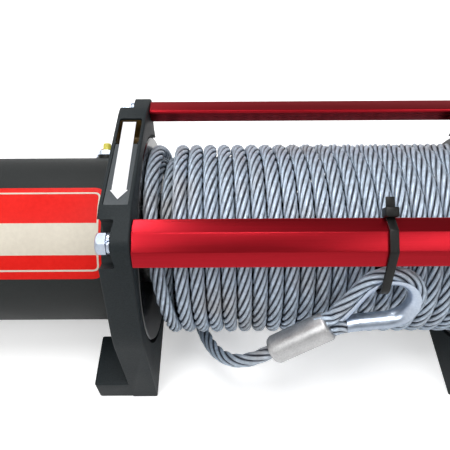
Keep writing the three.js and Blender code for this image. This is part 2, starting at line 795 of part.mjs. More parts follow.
const motorSide = (piece) => mirrored(piece instanceof THREE.BufferGeometry ? solid(piece) : piece);
add('motor_can', motorSide(motorCan()), finishes.motor_black);
add('motor_end_cap', motorSide(endCap()), finishes.motor_black);
for (let k = 0; k < pole_count; k++) add(`field_pole_${k + 1}`, motorSide(fieldPole(k)), finishes.copper);
add('armature_core', motorSide(armatureCore()), finishes.copper);
add('commutator', motorSide(commutatorBody()), finishes.copper);
add('brush_ring', motorSide(brushRing()), finishes.bronze);

// Motor shaft, coupling sleeve and the hexagonal drive shaft that runs through the drum
const hex_r = hex_af / 2 * hex_corner_share;
const coupling_r = 12;
const coupling_in = 8;
const coupling_out = 6;
const coupling_x1 = inner_x - coupling_in;
const coupling_x2 = outer_x + coupling_out;
const shaft_joint_x = (coupling_x1 + coupling_x2) / 2;
const motor_shaft_end = motor_end_x - motor_wall - gap;
const drive_end_x = outer_x + gear_len - gap;

function motorShaft() {
  const round = solid(rod(motor_shaft_r, coupling_x2 + gap, motor_shaft_end, 16));
  const tip = solid(extrudeX(hexagon(hex_af), shaft_joint_x + gap, coupling_x2 + overrun));
  return join(round, tip);
}

function couplingSleeve() {
  const sleeve = solid(rod(coupling_r, coupling_x1, coupling_x2, 20));
  const hole = solid(extrudeX(hexagon(hex_af + 2 * hex_gap), coupling_x1 - overrun, coupling_x2 + overrun));
  return sleeve.subtract(hole);
}

add('armature_shaft', motorSide(motorShaft()), finishes.steel);
add('shaft_coupling', motorSide(couplingSleeve()), finishes.steel);
add('drive_shaft', extrudeX(hexagon(hex_af), gap - shaft_joint_x, drive_end_x), finishes.steel);

// Cone brake inside the drum: a hub on the shaft and two shoes against the bore
const brake_len = 40;
const brake_x = -inner_x / 2;
const brake_hub_r = 12;
const brake_gap = 0.7;
const shoe_half = 82 * degree;
const shoe_steps = 8;

const hub_hole = extrudeX(hexagon(hex_af + 2 * hex_gap), brake_x - overrun, brake_x + brake_len + overrun);
const brake_hub = solid(rod(brake_hub_r, brake_x, brake_x + brake_len, 20)).subtract(solid(hub_hole));
add('brake_hub', brake_hub, finishes.steel);
for (const [name, side] of [['upper', 1], ['lower', -1]]) {
  const [shoe_r0, shoe_r1] = [brake_hub_r + brake_gap, drum_bore_r - brake_gap];
  const shoe = arcBlock(shoe_r0, shoe_r1, shoe_half, shoe_steps, brake_x, brake_x + brake_len);
  add(`${name}_brake_shoe`, spun(shoe, side * turn / 4), finishes.bronze);
}

// Gearbox: three planetary stages; the first is finest and lies at the outer end
const pressure_angle = 20 * degree;
const addendum_share = 0.85;
const dedendum_share = 1.25;
const backlash = 0.34;
const involute = (angle) => Math.tan(angle) - angle;

function halfTooth(r, pitch_r, teeth, thinned) {
  const base_r = pitch_r * Math.cos(pressure_angle);
  const at = r > base_r ? involute(Math.acos(base_r / r)) : 0;
  return turn / teeth / 4 - thinned / pitch_r / 2 + involute(pressure_angle) - at;
}

const ringTeeth = (sun) => sun + 2 * planet_teeth;
const moduleOf = (sun) => 2 * ring_pitch_r / ringTeeth(sun);
const planetReach = (sun) => (sun + planet_teeth) * moduleOf(sun) / 2;

function gearPoints(teeth, module, phase) {
  const pitch_r = teeth * module / 2;
  const root = pitch_r - dedendum_share * module;
  const tip = pitch_r + addendum_share * module;
  const points = [];
  for (let k = 0; k < teeth; k++) {
    const a = phase + k * turn / teeth;
    const wide = halfTooth(root, pitch_r, teeth, backlash);
    const narrow = halfTooth(tip, pitch_r, teeth, backlash);
    points.push(polar(root, a - wide), polar(tip, a - narrow));
    points.push(polar(tip, a + narrow), polar(root, a + wide));
  }
  return points;
}

function gearX(teeth, module, phase, x0, x1) {
  return solid(extrudeX(new THREE.Shape(gearPoints(teeth, module, phase)), x0, x1));
}

function ringGear(sun, outer, x0, x1) {
  const [teeth, module] = [ringTeeth(sun), moduleOf(sun)];
  const tip = ring_pitch_r - addendum_share * module;
  const root = ring_pitch_r + dedendum_share * module;
  const tooth = (r) => turn / teeth / 2 - halfTooth(r, ring_pitch_r, teeth, -backlash);
  const hole = [];
  for (let k = 0; k < teeth; k++) {
    const a = k * turn / teeth;
    hole.push(polar(root, a - tooth(root)), polar(tip, a - tooth(tip)));
    hole.push(polar(tip, a + tooth(tip)), polar(root, a + tooth(root)));
  }
  const rim = Array.from({ length: bearing_sides }, (_, k) => polar(outer, k * turn / bearing_sides));
  const shape = new THREE.Shape(rim);
  shape.holes.push(new THREE.Path(hole.reverse()));
  return extrudeX(shape, x0, x1);
}

const ring_outer_r = gear_face_r - gear_wall - gap;
const plate_r = 44;
const pin_r = 6.5;
const sun_bore_gap = 1.2;
const sun_bore_r = hex_r + sun_bore_gap;
const bore_sides = 8;
const planet_bore_r = pin_r / Math.cos(turn / 2 / bore_sides) + gap;

// The three stages share the length that the plates and gaps leave
const plate_count = 3;
const gap_count = 6;
const face_room = gear_len - cover_clear - plate_count * plate_t - gap_count * stage_gap;
const share_sum = face_shares.reduce((sum, share) => sum + share);
const [first_face, second_face, third_face] = face_shares.map((share) => face_room * share / share_sum);

// X places, outward from the support: the third stage, its plate nearest the drum, to the first
const third_plate_x = outer_x + stage_gap;
const third_x = third_plate_x + plate_t + stage_gap;
const second_plate_x = third_x + third_face + stage_gap;
const second_x = second_plate_x + plate_t + stage_gap;
const first_plate_x = second_x + second_face + stage_gap;
const first_x = first_plate_x + plate_t + stage_gap;

const stages = [
  { n: 1, sun: first_sun_teeth, face: first_face, x: first_x, plate_x: first_plate_x },
  { n: 2, sun: later_sun_teeth, face: second_face, x: second_x, plate_x: second_plate_x },
  { n: 3, sun: later_sun_teeth, face: third_face, x: third_x, plate_x: third_plate_x },
];

function planets(stage) {
  const phase = Math.PI + Math.PI / planet_teeth;
  const bore = solid(rod(planet_bore_r, stage.x - overrun, stage.x + stage.face + overrun, bore_sides));
  const gear = gearX(planet_teeth, moduleOf(stage.sun), phase, stage.x, stage.x + stage.face).subtract(bore);
  for (let k = 0; k < planet_count; k++) {
    const placed = spun(moved(geometryOf(gear), 0, planetReach(stage.sun), 0), k * turn / planet_count);
    add(`stage_${stage.n}_planet_${k + 1}`, placed, finishes.steel);
  }
}

// A carrier: a plate with three pins towards its planets, and on its other side the next sun
// or the hub that turns the drum
function carrier(stage, output) {
  const plate = solid(rod(plate_r, stage.plate_x, stage.plate_x + plate_t, 24));
  const pins = Array.from({ length: planet_count }, (_, k) => {
    const pin = rod(pin_r, stage.plate_x + plate_t / 2, stage.x + stage.face, bore_sides);
    return solid(spun(moved(pin, 0, planetReach(stage.sun), 0), k * turn / planet_count));
  });
  const bore = solid(rod(sun_bore_r, inner_x - plate_r, gear_end_x, bore_sides));
  return join(plate, ...pins, output).subtract(bore);
}

const sunGear = (stage, x1) => gearX(stage.sun, moduleOf(stage.sun), 0, stage.x, x1);
const sunOn = (stage, next) => sunGear(next, stage.plate_x + plate_t / 2);

const [first, second, third] = stages;
const hub = solid(rod(drum_bore_r - gap, inner_x - plate_t, third.plate_x + plate_t / 2, 20));
const sun_hole = solid(extrudeX(hexagon(hex_af + 2 * hex_gap), first.x - overrun, gear_end_x));

add('sun_gear', sunGear(first, first.x + first.face).subtract(sun_hole), finishes.steel);
for (const stage of stages) planets(stage);
add('stage_1_carrier', carrier(first, sunOn(first, second)), finishes.steel);
add('stage_2_carrier', carrier(second, sunOn(second, third)), finishes.steel);
add('stage_3_carrier', carrier(third, hub), finishes.steel);

const ring_split_x = first_plate_x + plate_t / 2;
const main_ring = ringGear(later_sun_teeth, ring_outer_r, third_x - stage_gap, ring_split_x - gap);
add('main_ring_gear', main_ring, finishes.steel);

// Gear housing, end cover and the free-spool clutch on top
const clutch_x = (ring_split_x + first_x + first_face) / 2;
const pin_d = 8;
const pin_in_ring = 2.6;
const pin_travel = 5;
const clutch_boss_r = 10.5;
const clutch_boss_top = 70;
const lever_hub_r = 14;
const lever_hub_h = 12;
const lever_len = 46;
const lever_w = 10;
const lever_t = 7;
const knob_r = 8;
const knob_h = 16;

function clutchRing() {
  const body = solid(ringGear(first_sun_teeth, ring_outer_r, ring_split_x, first_x + first_face));
  const notch_z = ring_outer_r - pin_in_ring - gap;
  const notch = upright(pin_d / 2 + gap, clutch_x, 0, notch_z, ring_outer_r + overrun, 12);
  return body.subtract(solid(notch));
}

add('clutch_ring_gear', clutchRing(), finishes.steel);

function gearHousing() {
  const [x0, x1] = [outer_x + gap, outer_x + gear_len - gap];
  const tube = solid(ring(ring_outer_r + gap, gear_face_r, x0, x1, round_sides));
  const boss = solid(upright(clutch_boss_r, clutch_x, 0, gear_face_r - gear_wall, clutch_boss_top, 20));
  const ends = solid(block(x0, x1, -gear_face_r, gear_face_r, 0, clutch_boss_top));
  const room = solid(rod(ring_outer_r + gap, outer_x - overrun, gear_end_x, round_sides));
  const hole = solid(upright(pin_d / 2 + gap, clutch_x, 0, 0, clutch_boss_top + overrun, 12));
  return cut(tube.add(boss.intersect(ends)), room, hole);
}

function endCover() {
  const x = outer_x + gear_len;
  const mid_x = x + cover_t / 2;
  const step_r = plate_r;
  const lip = 3;
  return turned([
    [x, 0], [x, gear_face_r], [mid_x - edge_chamfer, gear_face_r], [mid_x, gear_face_r - edge_chamfer],
    [mid_x, step_r + lip], [gear_end_x - edge_chamfer, step_r], [gear_end_x, step_r - edge_chamfer],
    [gear_end_x, 0],
  ], round_sides);
}

add('gear_housing', gearHousing(), finishes.casting);
add('gear_end_cover', endCover(), finishes.casting);

const pin_bottom = ring_outer_r - pin_in_ring;
const lever_z = clutch_boss_top + gap;
const pin_top = lever_z + lever_hub_h / 2 - pin_travel / 2;

add('clutch_pin', upright(pin_d / 2, clutch_x, 0, pin_bottom, pin_top, 12), finishes.zinc);

function clutchLever() {
  const hub_top = lever_z + lever_hub_h;
  const arm_z = hub_top - lever_t;
  const [arm_x0, arm_x1] = [clutch_x - lever_w / 2, clutch_x + lever_w / 2];
  const hub_body = solid(upright(lever_hub_r, clutch_x, 0, lever_z, hub_top, 20));
  const arm = solid(block(arm_x0, arm_x1, -lever_len, 0, arm_z, hub_top));
  const knob = solid(upright(knob_r, clutch_x, -lever_len, arm_z, lever_z + knob_h));
  const socket = solid(upright(pin_d / 2 + gap, clutch_x, 0, lever_z - overrun, pin_top + pin_travel + gap, 12));
  return join(hub_body, arm, knob).subtract(socket);
}

add('clutch_lever', clutchLever(), finishes.plastic);

// Motor terminals: three insulated studs in a slanting row at the top rear of the can
const stud_count = 3;
const stud_first_x = 14.9;
const stud_step_x = 6.2;
const stud_first_angle = 43 * degree;
const stud_step_angle = 15 * degree;
const stud_base_r = 6.5;
const stud_base_h = 2.4;
const stud_nut_af = 10;
const stud_nut_h = 3.4;
const stud_cap_r = 3.2;
const stud_cap_top = 10.5;

function terminalStud(k) {
  const base_top = motor_r + stud_base_h;
  const base = solid(rod(stud_base_r, motor_r - motor_wall / 2, base_top, 12));
  const nut = solid(extrudeX(hexagon(stud_nut_af), base_top - gap, base_top + stud_nut_h));
  const cap = solid(rod(stud_cap_r, base_top, motor_r + stud_cap_top, 10));
  const can = solid(rod(motor_r + gap, outer_x - can_len, outer_x + can_len, round_sides));
  const stud = geometryOf(join(base, nut, cap));
  stud.rotateZ(Math.PI / 2);
  spun(stud, stud_first_angle - k * stud_step_angle);
  moved(stud, outer_x + stud_first_x + k * stud_step_x, 0, 0);
  return solid(stud).subtract(can);
}

for (let k = 0; k < stud_count; k++) {
  add(`terminal_stud_${k + 1}`, motorSide(terminalStud(k)), finishes.yellow);
}

export default winch;
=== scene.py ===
# %% [markdown]
# # An electric winch, dressed for a picture
#
# A recovery winch has three round blocks in a row: a motor, a rope drum between two cast
# supports, and a planetary gearbox. Two flat red bars tie the supports together. The CAD model
# gives every piece its size and place. This script loads that model, keeps it as the frame, and
# puts finer skins over the pieces that a camera can see. Pieces inside keep their CAD shape and
# only get a finish.

# %% Load the CAD frame
from math import atan2, cos, hypot, pi, radians, sin

import bmesh
import bpy
import numpy as np
from mathutils import Matrix, Vector
from mathutils.geometry import convex_hull_2d


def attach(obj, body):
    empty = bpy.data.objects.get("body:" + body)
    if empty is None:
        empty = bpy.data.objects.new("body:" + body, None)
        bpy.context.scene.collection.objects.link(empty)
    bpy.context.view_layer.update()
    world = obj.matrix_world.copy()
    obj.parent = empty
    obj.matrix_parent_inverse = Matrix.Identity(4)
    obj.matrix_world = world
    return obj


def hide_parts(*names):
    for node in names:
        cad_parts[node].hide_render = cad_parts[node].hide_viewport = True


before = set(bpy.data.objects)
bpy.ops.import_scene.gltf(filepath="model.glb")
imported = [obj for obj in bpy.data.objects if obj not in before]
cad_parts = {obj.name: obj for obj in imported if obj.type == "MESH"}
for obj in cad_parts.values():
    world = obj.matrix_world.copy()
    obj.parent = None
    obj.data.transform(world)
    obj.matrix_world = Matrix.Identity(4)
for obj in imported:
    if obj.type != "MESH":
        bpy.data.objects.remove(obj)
scene = bpy.context.scene
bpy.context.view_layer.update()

# %% [markdown]
# ## Where everything is
#
# The winch was drawn in millimetres from the middle of the drum's axis. Each mesh is built in
# those numbers, and one matrix takes it to metres on the floor at the very end. No object is ever
# moved, so a pattern that reads Object coordinates stays put.

# %% The drum-centred millimetre frame
DRUM_CENTRE = Vector((0.0485, 0.0, 0.080))
WINCH_FRAME = Matrix.Translation(DRUM_CENTRE) @ Matrix.Scale(0.001, 4)
FLOOR_Z = -80.0


def add_object(name, data):
    thing = bpy.data.objects.new(name, data)
    scene.collection.objects.link(thing)
    return thing


print("drum centre:", tuple(DRUM_CENTRE))

# %% [markdown]
# ## Camera
#
# The picture was taken from above the front, a little to the motor side, looking steeply down.
# The place and lens below come from matching both bars, the supports and the motor's edges. A
# longer lens would flatten the supports. The last small roll lets the bars rise to the right.

# %% The camera
CAMERA_PLACE = Vector((-0.0077, -0.2191, 0.3551))
CAMERA_LOOK = Vector((0.0, 0.643, -0.766))
CAMERA_ROLL = radians(-0.33)
camera_data = bpy.data.cameras.new("camera")
camera_data.lens = 39.28
camera_data.sensor_width = 36.0
camera = add_object("camera", camera_data)
look = CAMERA_LOOK.to_track_quat("-Z", "Y").to_matrix().to_4x4()
camera.matrix_world = Matrix.Translation(CAMERA_PLACE) @ look @ Matrix.Rotation(CAMERA_ROLL, 4, "Z")
scene.camera = camera
print("camera:", tuple(round(v, 4) for v in camera.location), "lens", camera_data.lens)

# %% [markdown]
# ## A way to write finishes
#
# Every finish here is a Principled shader fed by procedural textures. One short helper adds a
# node, sets its options and links or fills its inputs. Another makes the plain case: a fine grain
# and some broad patches that change the colour, the gloss and the bump, as on real paint and metal.

# %% Helpers for finishes
def add_node(mat, kind, inputs=None, **options):
    """Adds a shader node. An input is either a value or another node's output."""
    node = mat.node_tree.nodes.new(kind)
    for key, value in options.items():
        setattr(node, key, value)
    for key, value in (inputs or {}).items():
        if isinstance(value, bpy.types.NodeSocket):
            mat.node_tree.links.new(value, node.inputs[key])
        else:
            node.inputs[key].default_value = value
    return node


def bare_finish(name, metallic=0.0, roughness=0.5):
    mat = bpy.data.materials.new(name)
    mat.use_nodes = True
    shader = mat.node_tree.nodes["Principled BSDF"]
    shader.inputs["Metallic"].default_value = metallic
    shader.inputs["Roughness"].default_value = roughness
    return mat, shader


def blend_colours(mat, factor, first, second):
    """A colour between two others. Inputs 6 and 7 are the mix node's colour pair."""
    a, b = (c if isinstance(c, bpy.types.NodeSocket) else (*c, 1.0) for c in (first, second))
    return add_node(mat, "ShaderNodeMix", {0: factor, 6: a, 7: b}, data_type="RGBA").outputs[2]


def remap(mat, value, low, high, start=0.0, end=1.0):
    limits = {"From Min": start, "From Max": end, "To Min": low, "To Max": high}
    return add_node(mat, "ShaderNodeMapRange", {"Value": value, **limits}).outputs["Result"]


def noise(mat, coords, scale, detail, roughness=0.5):
    inputs = {"Vector": coords, "Scale": scale, "Detail": detail, "Roughness": roughness}
    return add_node(mat, "ShaderNodeTexNoise", inputs).outputs["Fac"]


def maths(mat, operation, *values):
    return add_node(mat, "ShaderNodeMath", dict(enumerate(values)), operation=operation).outputs[0]


def object_coords(mat):
    return add_node(mat, "ShaderNodeTexCoord").outputs["Object"]


COAT_ROUGHNESS = 0.3
GRAIN_DEPTH = 0.0004


def surface(slot_name, name, dark, light, gloss, grain, bump, patches, metallic=0.0, specular=0.5, coat=0.0,
            stretch=(1, 1, 1)):
    """Paint, plate or bare metal, with its slot; gloss is the lowest and highest roughness."""
    mat, shader = bare_finish(name, metallic)
    shader.inputs["Specular IOR Level"].default_value = specular
    shader.inputs["Coat Weight"].default_value = coat
    shader.inputs["Coat Roughness"].default_value = COAT_ROUGHNESS
    link = mat.node_tree.links.new
    mapping = {"Vector": object_coords(mat), "Scale": stretch}
    coords = add_node(mat, "ShaderNodeMapping", mapping).outputs["Vector"]
    fine = noise(mat, coords, grain, 3.0, 0.6)
    broad = noise(mat, coords, patches, 4.0, 0.55)
    share = remap(mat, maths(mat, "ADD", fine, broad), 0.0, 1.0, 0.7, 1.3)
    link(blend_colours(mat, share, dark, light), shader.inputs["Base Color"])
    link(remap(mat, broad, gloss[0], gloss[1], 0.3, 0.7), shader.inputs["Roughness"])
    relief = add_node(mat, "ShaderNodeBump", {"Height": fine, "Strength": bump, "Distance": GRAIN_DEPTH})
    link(relief.outputs["Normal"], shader.inputs["Normal"])
    return mat, slot_name


print("finish helpers ready")

# %% [markdown]
# ## Wire rope finish
#
# The rope is six strands, and each strand is a bundle of bright wires. The strands are real
# geometry, so the finish only adds the wires and the darkening of the grooves, which is grease and
# painted shade together. For this the mesh carries a UV map that runs across each strand and along
# the rope, and an attribute that is 1 deep in a groove and 0 on a strand's crown.

# %% The wire rope finish
WIRES_ACROSS = 7.0
WIRE_SLANT = 1.6
ROPE_METALLIC = 0.4
WORN_SHARE = 0.72
RUSTY_GREASE = (0.42, 0.36, 0.30)


def wire_rope_finish(name, crown, hollow, roughness):
    mat, shader = bare_finish(name, ROPE_METALLIC, roughness)
    link = mat.node_tree.links.new
    uv = add_node(mat, "ShaderNodeUVMap", uv_map="UVMap").outputs["UV"]
    parts = add_node(mat, "ShaderNodeSeparateXYZ", {"Vector": uv}).outputs
    across = maths(mat, "MULTIPLY", parts["X"], WIRES_ACROSS)
    along = maths(mat, "MULTIPLY_ADD", parts["Y"], WIRES_ACROSS * WIRE_SLANT, across)
    wires = maths(mat, "SINE", maths(mat, "MULTIPLY", along, 2 * pi))
    groove = add_node(mat, "ShaderNodeAttribute", attribute_name="groove").outputs["Fac"]
    coords = object_coords(mat)
    worn = remap(mat, noise(mat, coords, 260.0, 3.0), 0.0, 1.0, 0.35, 0.65)
    steel = blend_colours(mat, worn, [v * WORN_SHARE for v in crown], crown)
    grease = remap(mat, noise(mat, coords, 22.0, 2.0), 0.0, 0.5, 0.5, 0.7)
    warm = blend_colours(mat, grease, steel, RUSTY_GREASE)
    lined = blend_colours(mat, remap(mat, wires, 0.26, 0.0, -1.0, 0.1), warm, hollow)
    # Deep in a groove the colour darkens to the hollow colour: part grease, part painted shade.
    groove_grease_and_shade = blend_colours(mat, remap(mat, groove, 0.04, 0.95, 0.12, 0.62), lined, hollow)
    link(groove_grease_and_shade, shader.inputs["Base Color"])
    relief = add_node(mat, "ShaderNodeBump", {"Height": wires, "Strength": 0.35, "Distance": 0.0003})
    link(relief.outputs["Normal"], shader.inputs["Normal"])
    return mat, "wire_rope"


# The crown colours are the steel's grey with a strong blue tint; the tint is painted light, a cool light
# from above.
bright_rope = wire_rope_finish("bright_wire_rope", (0.72, 0.85, 1.0), (0.012, 0.012, 0.030), 0.40)
# The lower layer is the same rope; its darker colours are painted shade.
shaded_rope = wire_rope_finish("shade_darkened_wire_rope", (0.52, 0.62, 0.72), (0.008, 0.009, 0.014), 0.45)
print("rope finishes:", bright_rope[0].name, shaded_rope[0].name)

# %% [markdown]
# ## The rope's line
#
# The whole outer run is one line: from the ferrule down and round under the drum as the free
# end, into the gap beside the motor-side flange, and then round and round to the other flange.
# Drawing it as one line means the strands run on unbroken where the free end becomes the winding.

# %% The line of the free end and of the outer layer
ROPE_D = 9.0
OUTER_WRAP_R = 61.4
LOWER_WRAP_R = 53.1
ROPE_PITCH = 9.5
FLANGE_WRAP_X = -101.2
LAST_WRAP_X = 101.2
LAYER_LEAD = 0.55
WRAP_COUNT = (LAST_WRAP_X - FLANGE_WRAP_X) / ROPE_PITCH - LAYER_LEAD
TAIL_POINTS = [
    (-27.7, -82.2, -11.0), (-37.0, -83.6, -17.2), (-45.6, -82.2, -24.4), (-53.4, -77.6, -32.6),
    (-60.0, -70.2, -41.0), (-65.8, -60.6, -48.9), (-70.4, -49.8, -55.7), (-74.2, -38.4, -61.1),
    (-77.4, -26.1, -66.3), (-80.4, -11.0, -70.5), (-83.4, 5.0, -71.2), (-86.4, 20.8, -68.3),
    (-89.4, 35.7, -61.8), (-92.2, 48.6, -52.2), (-95.0, 59.1, -40.0), (-97.8, 66.7, -25.6),
    (-100.6, 70.7, -9.9),
]
SINK_FROM_R = 71.4
SINK_START, SINK_END = -8.0, 44.0
SINK_X, SINK_SHIFT = -100.6, 0.6
LAST_TURN_DROP, LAST_TURN_DEGREES = 6.5, 50
ROPE_STEP = 2.9


def eased(value, start, end):
    """0 before start, 1 after end, and a soft step between them."""
    share = min(max((value - start) / (end - start), 0.0), 1.0)
    return share * share * (3 - 2 * share)


def round_drum(x, radius, degrees):
    angle = radians(degrees)
    return (x, radius * cos(angle), radius * sin(angle))


def wrap_x(turns):
    regular = min(FLANGE_WRAP_X + ROPE_PITCH * (LAYER_LEAD + turns), LAST_WRAP_X)
    return FLANGE_WRAP_X + (regular - FLANGE_WRAP_X) * eased(turns, 0.28, 0.56)


def smooth_line(points, spacing):
    """A Catmull-Rom line through the points, resampled at even spacing."""
    p = np.array(points, dtype=float)
    p = np.vstack([2 * p[0] - p[1], p, 2 * p[-1] - p[-2]])
    t = np.linspace(0, 1, 12, endpoint=False)[:, None]
    rows = []
    for a, b, c, d in zip(p, p[1:], p[2:], p[3:]):
        cubic = (3 * b - a - 3 * c + d) * t**3
        rows.append(0.5 * (2 * b + (c - a) * t + (2 * a - 5 * b + 4 * c - d) * t**2 + cubic))
    line = np.vstack([*rows, p[-2][None]])
    run = np.concatenate([[0], np.cumsum(np.linalg.norm(np.diff(line, axis=0), axis=1))])
    even = np.linspace(0, run[-1], int(round(run[-1] / spacing)) + 1)
    return np.stack([np.interp(even, run, line[:, k]) for k in range(3)], axis=1)


def rope_route():
    route = list(TAIL_POINTS)
    for degrees in np.arange(SINK_START + 6, SINK_END, 6):
        sunk = eased(degrees, SINK_START, SINK_END)
        radius = SINK_FROM_R + (OUTER_WRAP_R - SINK_FROM_R) * sunk
        route.append(round_drum(SINK_X - SINK_SHIFT * sunk, radius, degrees))
    tail_count = len(route)
    last = WRAP_COUNT * 360
    for degrees in np.arange(SINK_END, last, 9):
        under = eased(degrees, last - LAST_TURN_DEGREES, last)
        route.append(round_drum(wrap_x(degrees / 360), OUTER_WRAP_R - LAST_TURN_DROP * under, degrees))
    return route, tail_count


route, tail_count = rope_route()
rope_line = smooth_line(route, ROPE_STEP)
tail_end = int(np.argmin(np.linalg.norm(rope_line - np.array(route[tail_count - 1]), axis=1)))
print("rope on the outer layer:", round(len(rope_line) * ROPE_STEP / 1000, 2), "m, tail", tail_end, "steps")

# %% [markdown]
# ## A stranded rope from a line
#
# A curve with a bevel could give a round tube, but not strands that wind round it. So the rope is
# swept here: a section with six lobes is carried along the line, and each copy is turned a little
# further than the last, one full turn in each lay length. The frame that carries the section
# turns only as much as the line makes it, so the strands stay evenly spaced in every bend.

# %% The six-strand sweep
STRANDS = 6
POINTS_A_STRAND = 6
LAY_LENGTH = 59.0
STRAND_SHARP = 62


def strand_section():
    """The outline of six touching strands, with how deep in a groove each point lies."""
    strand_r, ring_r = ROPE_D / 6, ROPE_D / 3
    deepest = ROPE_D / 2 - ring_r * cos(pi / 6)
    section, depth = [], []
    for strand in range(STRANDS):
        turned = 2 * pi * strand / STRANDS
        for k in range(POINTS_A_STRAND):
            local = radians(-120 + 240 * k / POINTS_A_STRAND)
            x, y = ring_r + strand_r * cos(local), strand_r * sin(local)
            section.append((x * cos(turned) - y * sin(turned), x * sin(turned) + y * cos(turned)))
            depth.append((ROPE_D / 2 - hypot(x, y)) / deepest)
    return np.array(section), np.array(depth)


def carried_frames(line):
    """At each point of the line, two directions square to it that never spin about it."""
    tangents = np.gradient(line, axis=0)
    tangents /= np.linalg.norm(tangents, axis=1)[:, None]
    side = np.cross(tangents[0], (0.0, 0.0, 1.0))
    sides = []
    for tangent in tangents:
        side = side - tangent * np.dot(side, tangent)
        side /= np.linalg.norm(side)
        sides.append(side)
    sides = np.array(sides)
    return sides, np.cross(tangents, sides)


def strand_mesh(name, line, first, last):
    """Rings first to last of the swept rope, closed at both ends."""
    section, depth = strand_section()
    columns = len(section)
    count = last - first + 1
    step = np.linalg.norm(line[1] - line[0])
    angle = 2 * np.pi * (np.arange(first, last + 1) * step) / LAY_LENGTH
    c, s = np.cos(angle)[:, None], np.sin(angle)[:, None]
    u = section[:, 0] * c - section[:, 1] * s
    v = section[:, 0] * s + section[:, 1] * c
    centres, sides, ups = (rows[first:last + 1, None] for rows in (line, *carried_frames(line)))
    rings = centres + u[..., None] * sides + v[..., None] * ups
    points = np.vstack([rings.reshape(-1, 3), line[first], line[last]])
    row = np.arange(count - 1)[:, None] * columns
    here, ahead = np.arange(columns)[None], (np.arange(columns)[None] + 1) % columns
    corners = (row + here, row + ahead, row + columns + ahead, row + columns + here)
    quads = np.stack(corners, axis=-1).reshape(-1, 4)
    near, far = count * columns, count * columns + 1
    foot = (count - 1) * columns
    caps = [(near, (k + 1) % columns, k) for k in range(columns)]
    caps += [(far, foot + k, foot + (k + 1) % columns) for k in range(columns)]
    mesh = bpy.data.meshes.new(name)
    placed = points * 0.001 + np.array(DRUM_CENTRE)
    mesh.from_pydata(placed.tolist(), [], quads.tolist() + caps)
    uv = mesh.uv_layers.new(name="UVMap")
    left = (np.arange(columns) % POINTS_A_STRAND) / POINTS_A_STRAND
    low = np.arange(first, last) * step / LAY_LENGTH
    right, high = left + 1 / POINTS_A_STRAND, low + step / LAY_LENGTH
    quad_uv = np.zeros((count - 1, columns, 4, 2))
    quad_uv[..., 0] = np.stack([left, right, right, left], axis=-1)[None]
    quad_uv[..., 1] = np.stack([low, low, high, high], axis=-1)[:, None]
    uv.data.foreach_set("uv", np.concatenate([quad_uv.reshape(-1), np.full(len(caps) * 6, 0.5)]))
    groove = mesh.attributes.new("groove", "FLOAT", "POINT")
    groove.data.foreach_set("value", np.concatenate([np.tile(depth, count), [1.0, 1.0]]))
    mesh.shade_smooth()
    mesh.set_sharp_from_angle(angle=radians(STRAND_SHARP))
    return mesh


def link_piece(name, mesh, finish, stands_for=None, body="frame"):
    """Puts a finished mesh in the scene as one piece of the winch."""
    mat, slot_name = finish
    mesh.materials.append(mat)
    piece = add_object(name, mesh)
    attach(piece, body)
    if stands_for:
        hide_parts(stands_for)
    print(f"{name}: {len(mesh.polygons)} faces, rides on {body}")
    return piece


tail_mesh = strand_mesh("free_rope", rope_line, 0, tail_end)
free_rope = link_piece("free_rope", tail_mesh, bright_rope, "rope_tail")
rope_end = len(rope_line) - 1
middle = (tail_end + rope_end) // 2
for half, first, last in [("motor", tail_end, middle), ("gear", middle, rope_end)]:
    name = f"outer_layer_{half}_half"
    link_piece(name, strand_mesh(name, rope_line, first, last), bright_rope, "rope_outer_layer", "drum")

# %% [markdown]
# ## The lower layer
#
# Layers of rope on a drum cross each other: each one climbs back over the last. The layer below
# the outer one therefore leans the other way. It shows only in the gaps, so it gets fewer rings
# and a darker copy of the rope finish, which is painted shade.

# %% The layer below
lower_turns = (LAST_WRAP_X - FLANGE_WRAP_X) / ROPE_PITCH
lower_route = [round_drum(LAST_WRAP_X - ROPE_PITCH * degrees / 360, LOWER_WRAP_R, degrees)
               for degrees in np.arange(0, lower_turns * 360, 12)]
lower_line = smooth_line(lower_route, 6.0)
lower_mesh = strand_mesh("lower_layer", lower_line, 0, len(lower_line) - 1)
link_piece("lower_layer", lower_mesh, shaded_rope, "rope_lower_layers", "drum")

# %% [markdown]
# ## The eye
#
# At its free end the rope turns back round a thimble, and an alloy ferrule holds both parts. The
# eye leans back and its axis rises to the right, so it is drawn flat, as distances along and
# across its axis, and one function puts those on the leaning plane.

# %% The eye's plane and its rope
EYE_LEAN = radians(163)
EYE_SLOPE = radians(33.5)
EYE_R = 18.1
EYE_CENTRE = 37.0
EYE_ARC_HALF = 117
eye_normal = Vector((0, cos(EYE_LEAN), sin(EYE_LEAN)))
eye_down = Vector((0, -sin(EYE_LEAN), cos(EYE_LEAN)))
eye_axis = Vector((1, 0, 0)) * cos(EYE_SLOPE) - eye_down * sin(EYE_SLOPE)
eye_across = eye_normal.cross(eye_axis)
EYE_MOUTH_R, EYE_MOUTH_X, EYE_MOUTH_DROP = 75.4, 6.4, 12.0
eye_mouth = eye_normal * EYE_MOUTH_R + Vector((EYE_MOUTH_X, 0, 0)) + eye_down * EYE_MOUTH_DROP


def on_eye(along, across, off=0.0):
    return eye_mouth + eye_axis * along + eye_across * across + eye_normal * off


def eye_route():
    legs = [(-6.0, 4.75), (0.3, 4.75), (4.5, 4.85), (7.5, 6.2), (11, 7.4), (18, 10.7)]
    arc = [(EYE_CENTRE + EYE_R * cos(radians(a)), EYE_R * sin(radians(a)))
           for a in np.linspace(EYE_ARC_HALF, -EYE_ARC_HALF, 10)]
    return [on_eye(a, b) for a, b in legs + arc + [(a, -b) for a, b in reversed(legs)]]


eye_line = smooth_line(eye_route(), 1.6)
link_piece("eye_rope", strand_mesh("eye_rope", eye_line, 0, len(eye_line) - 1), bright_rope, "rope_eye")
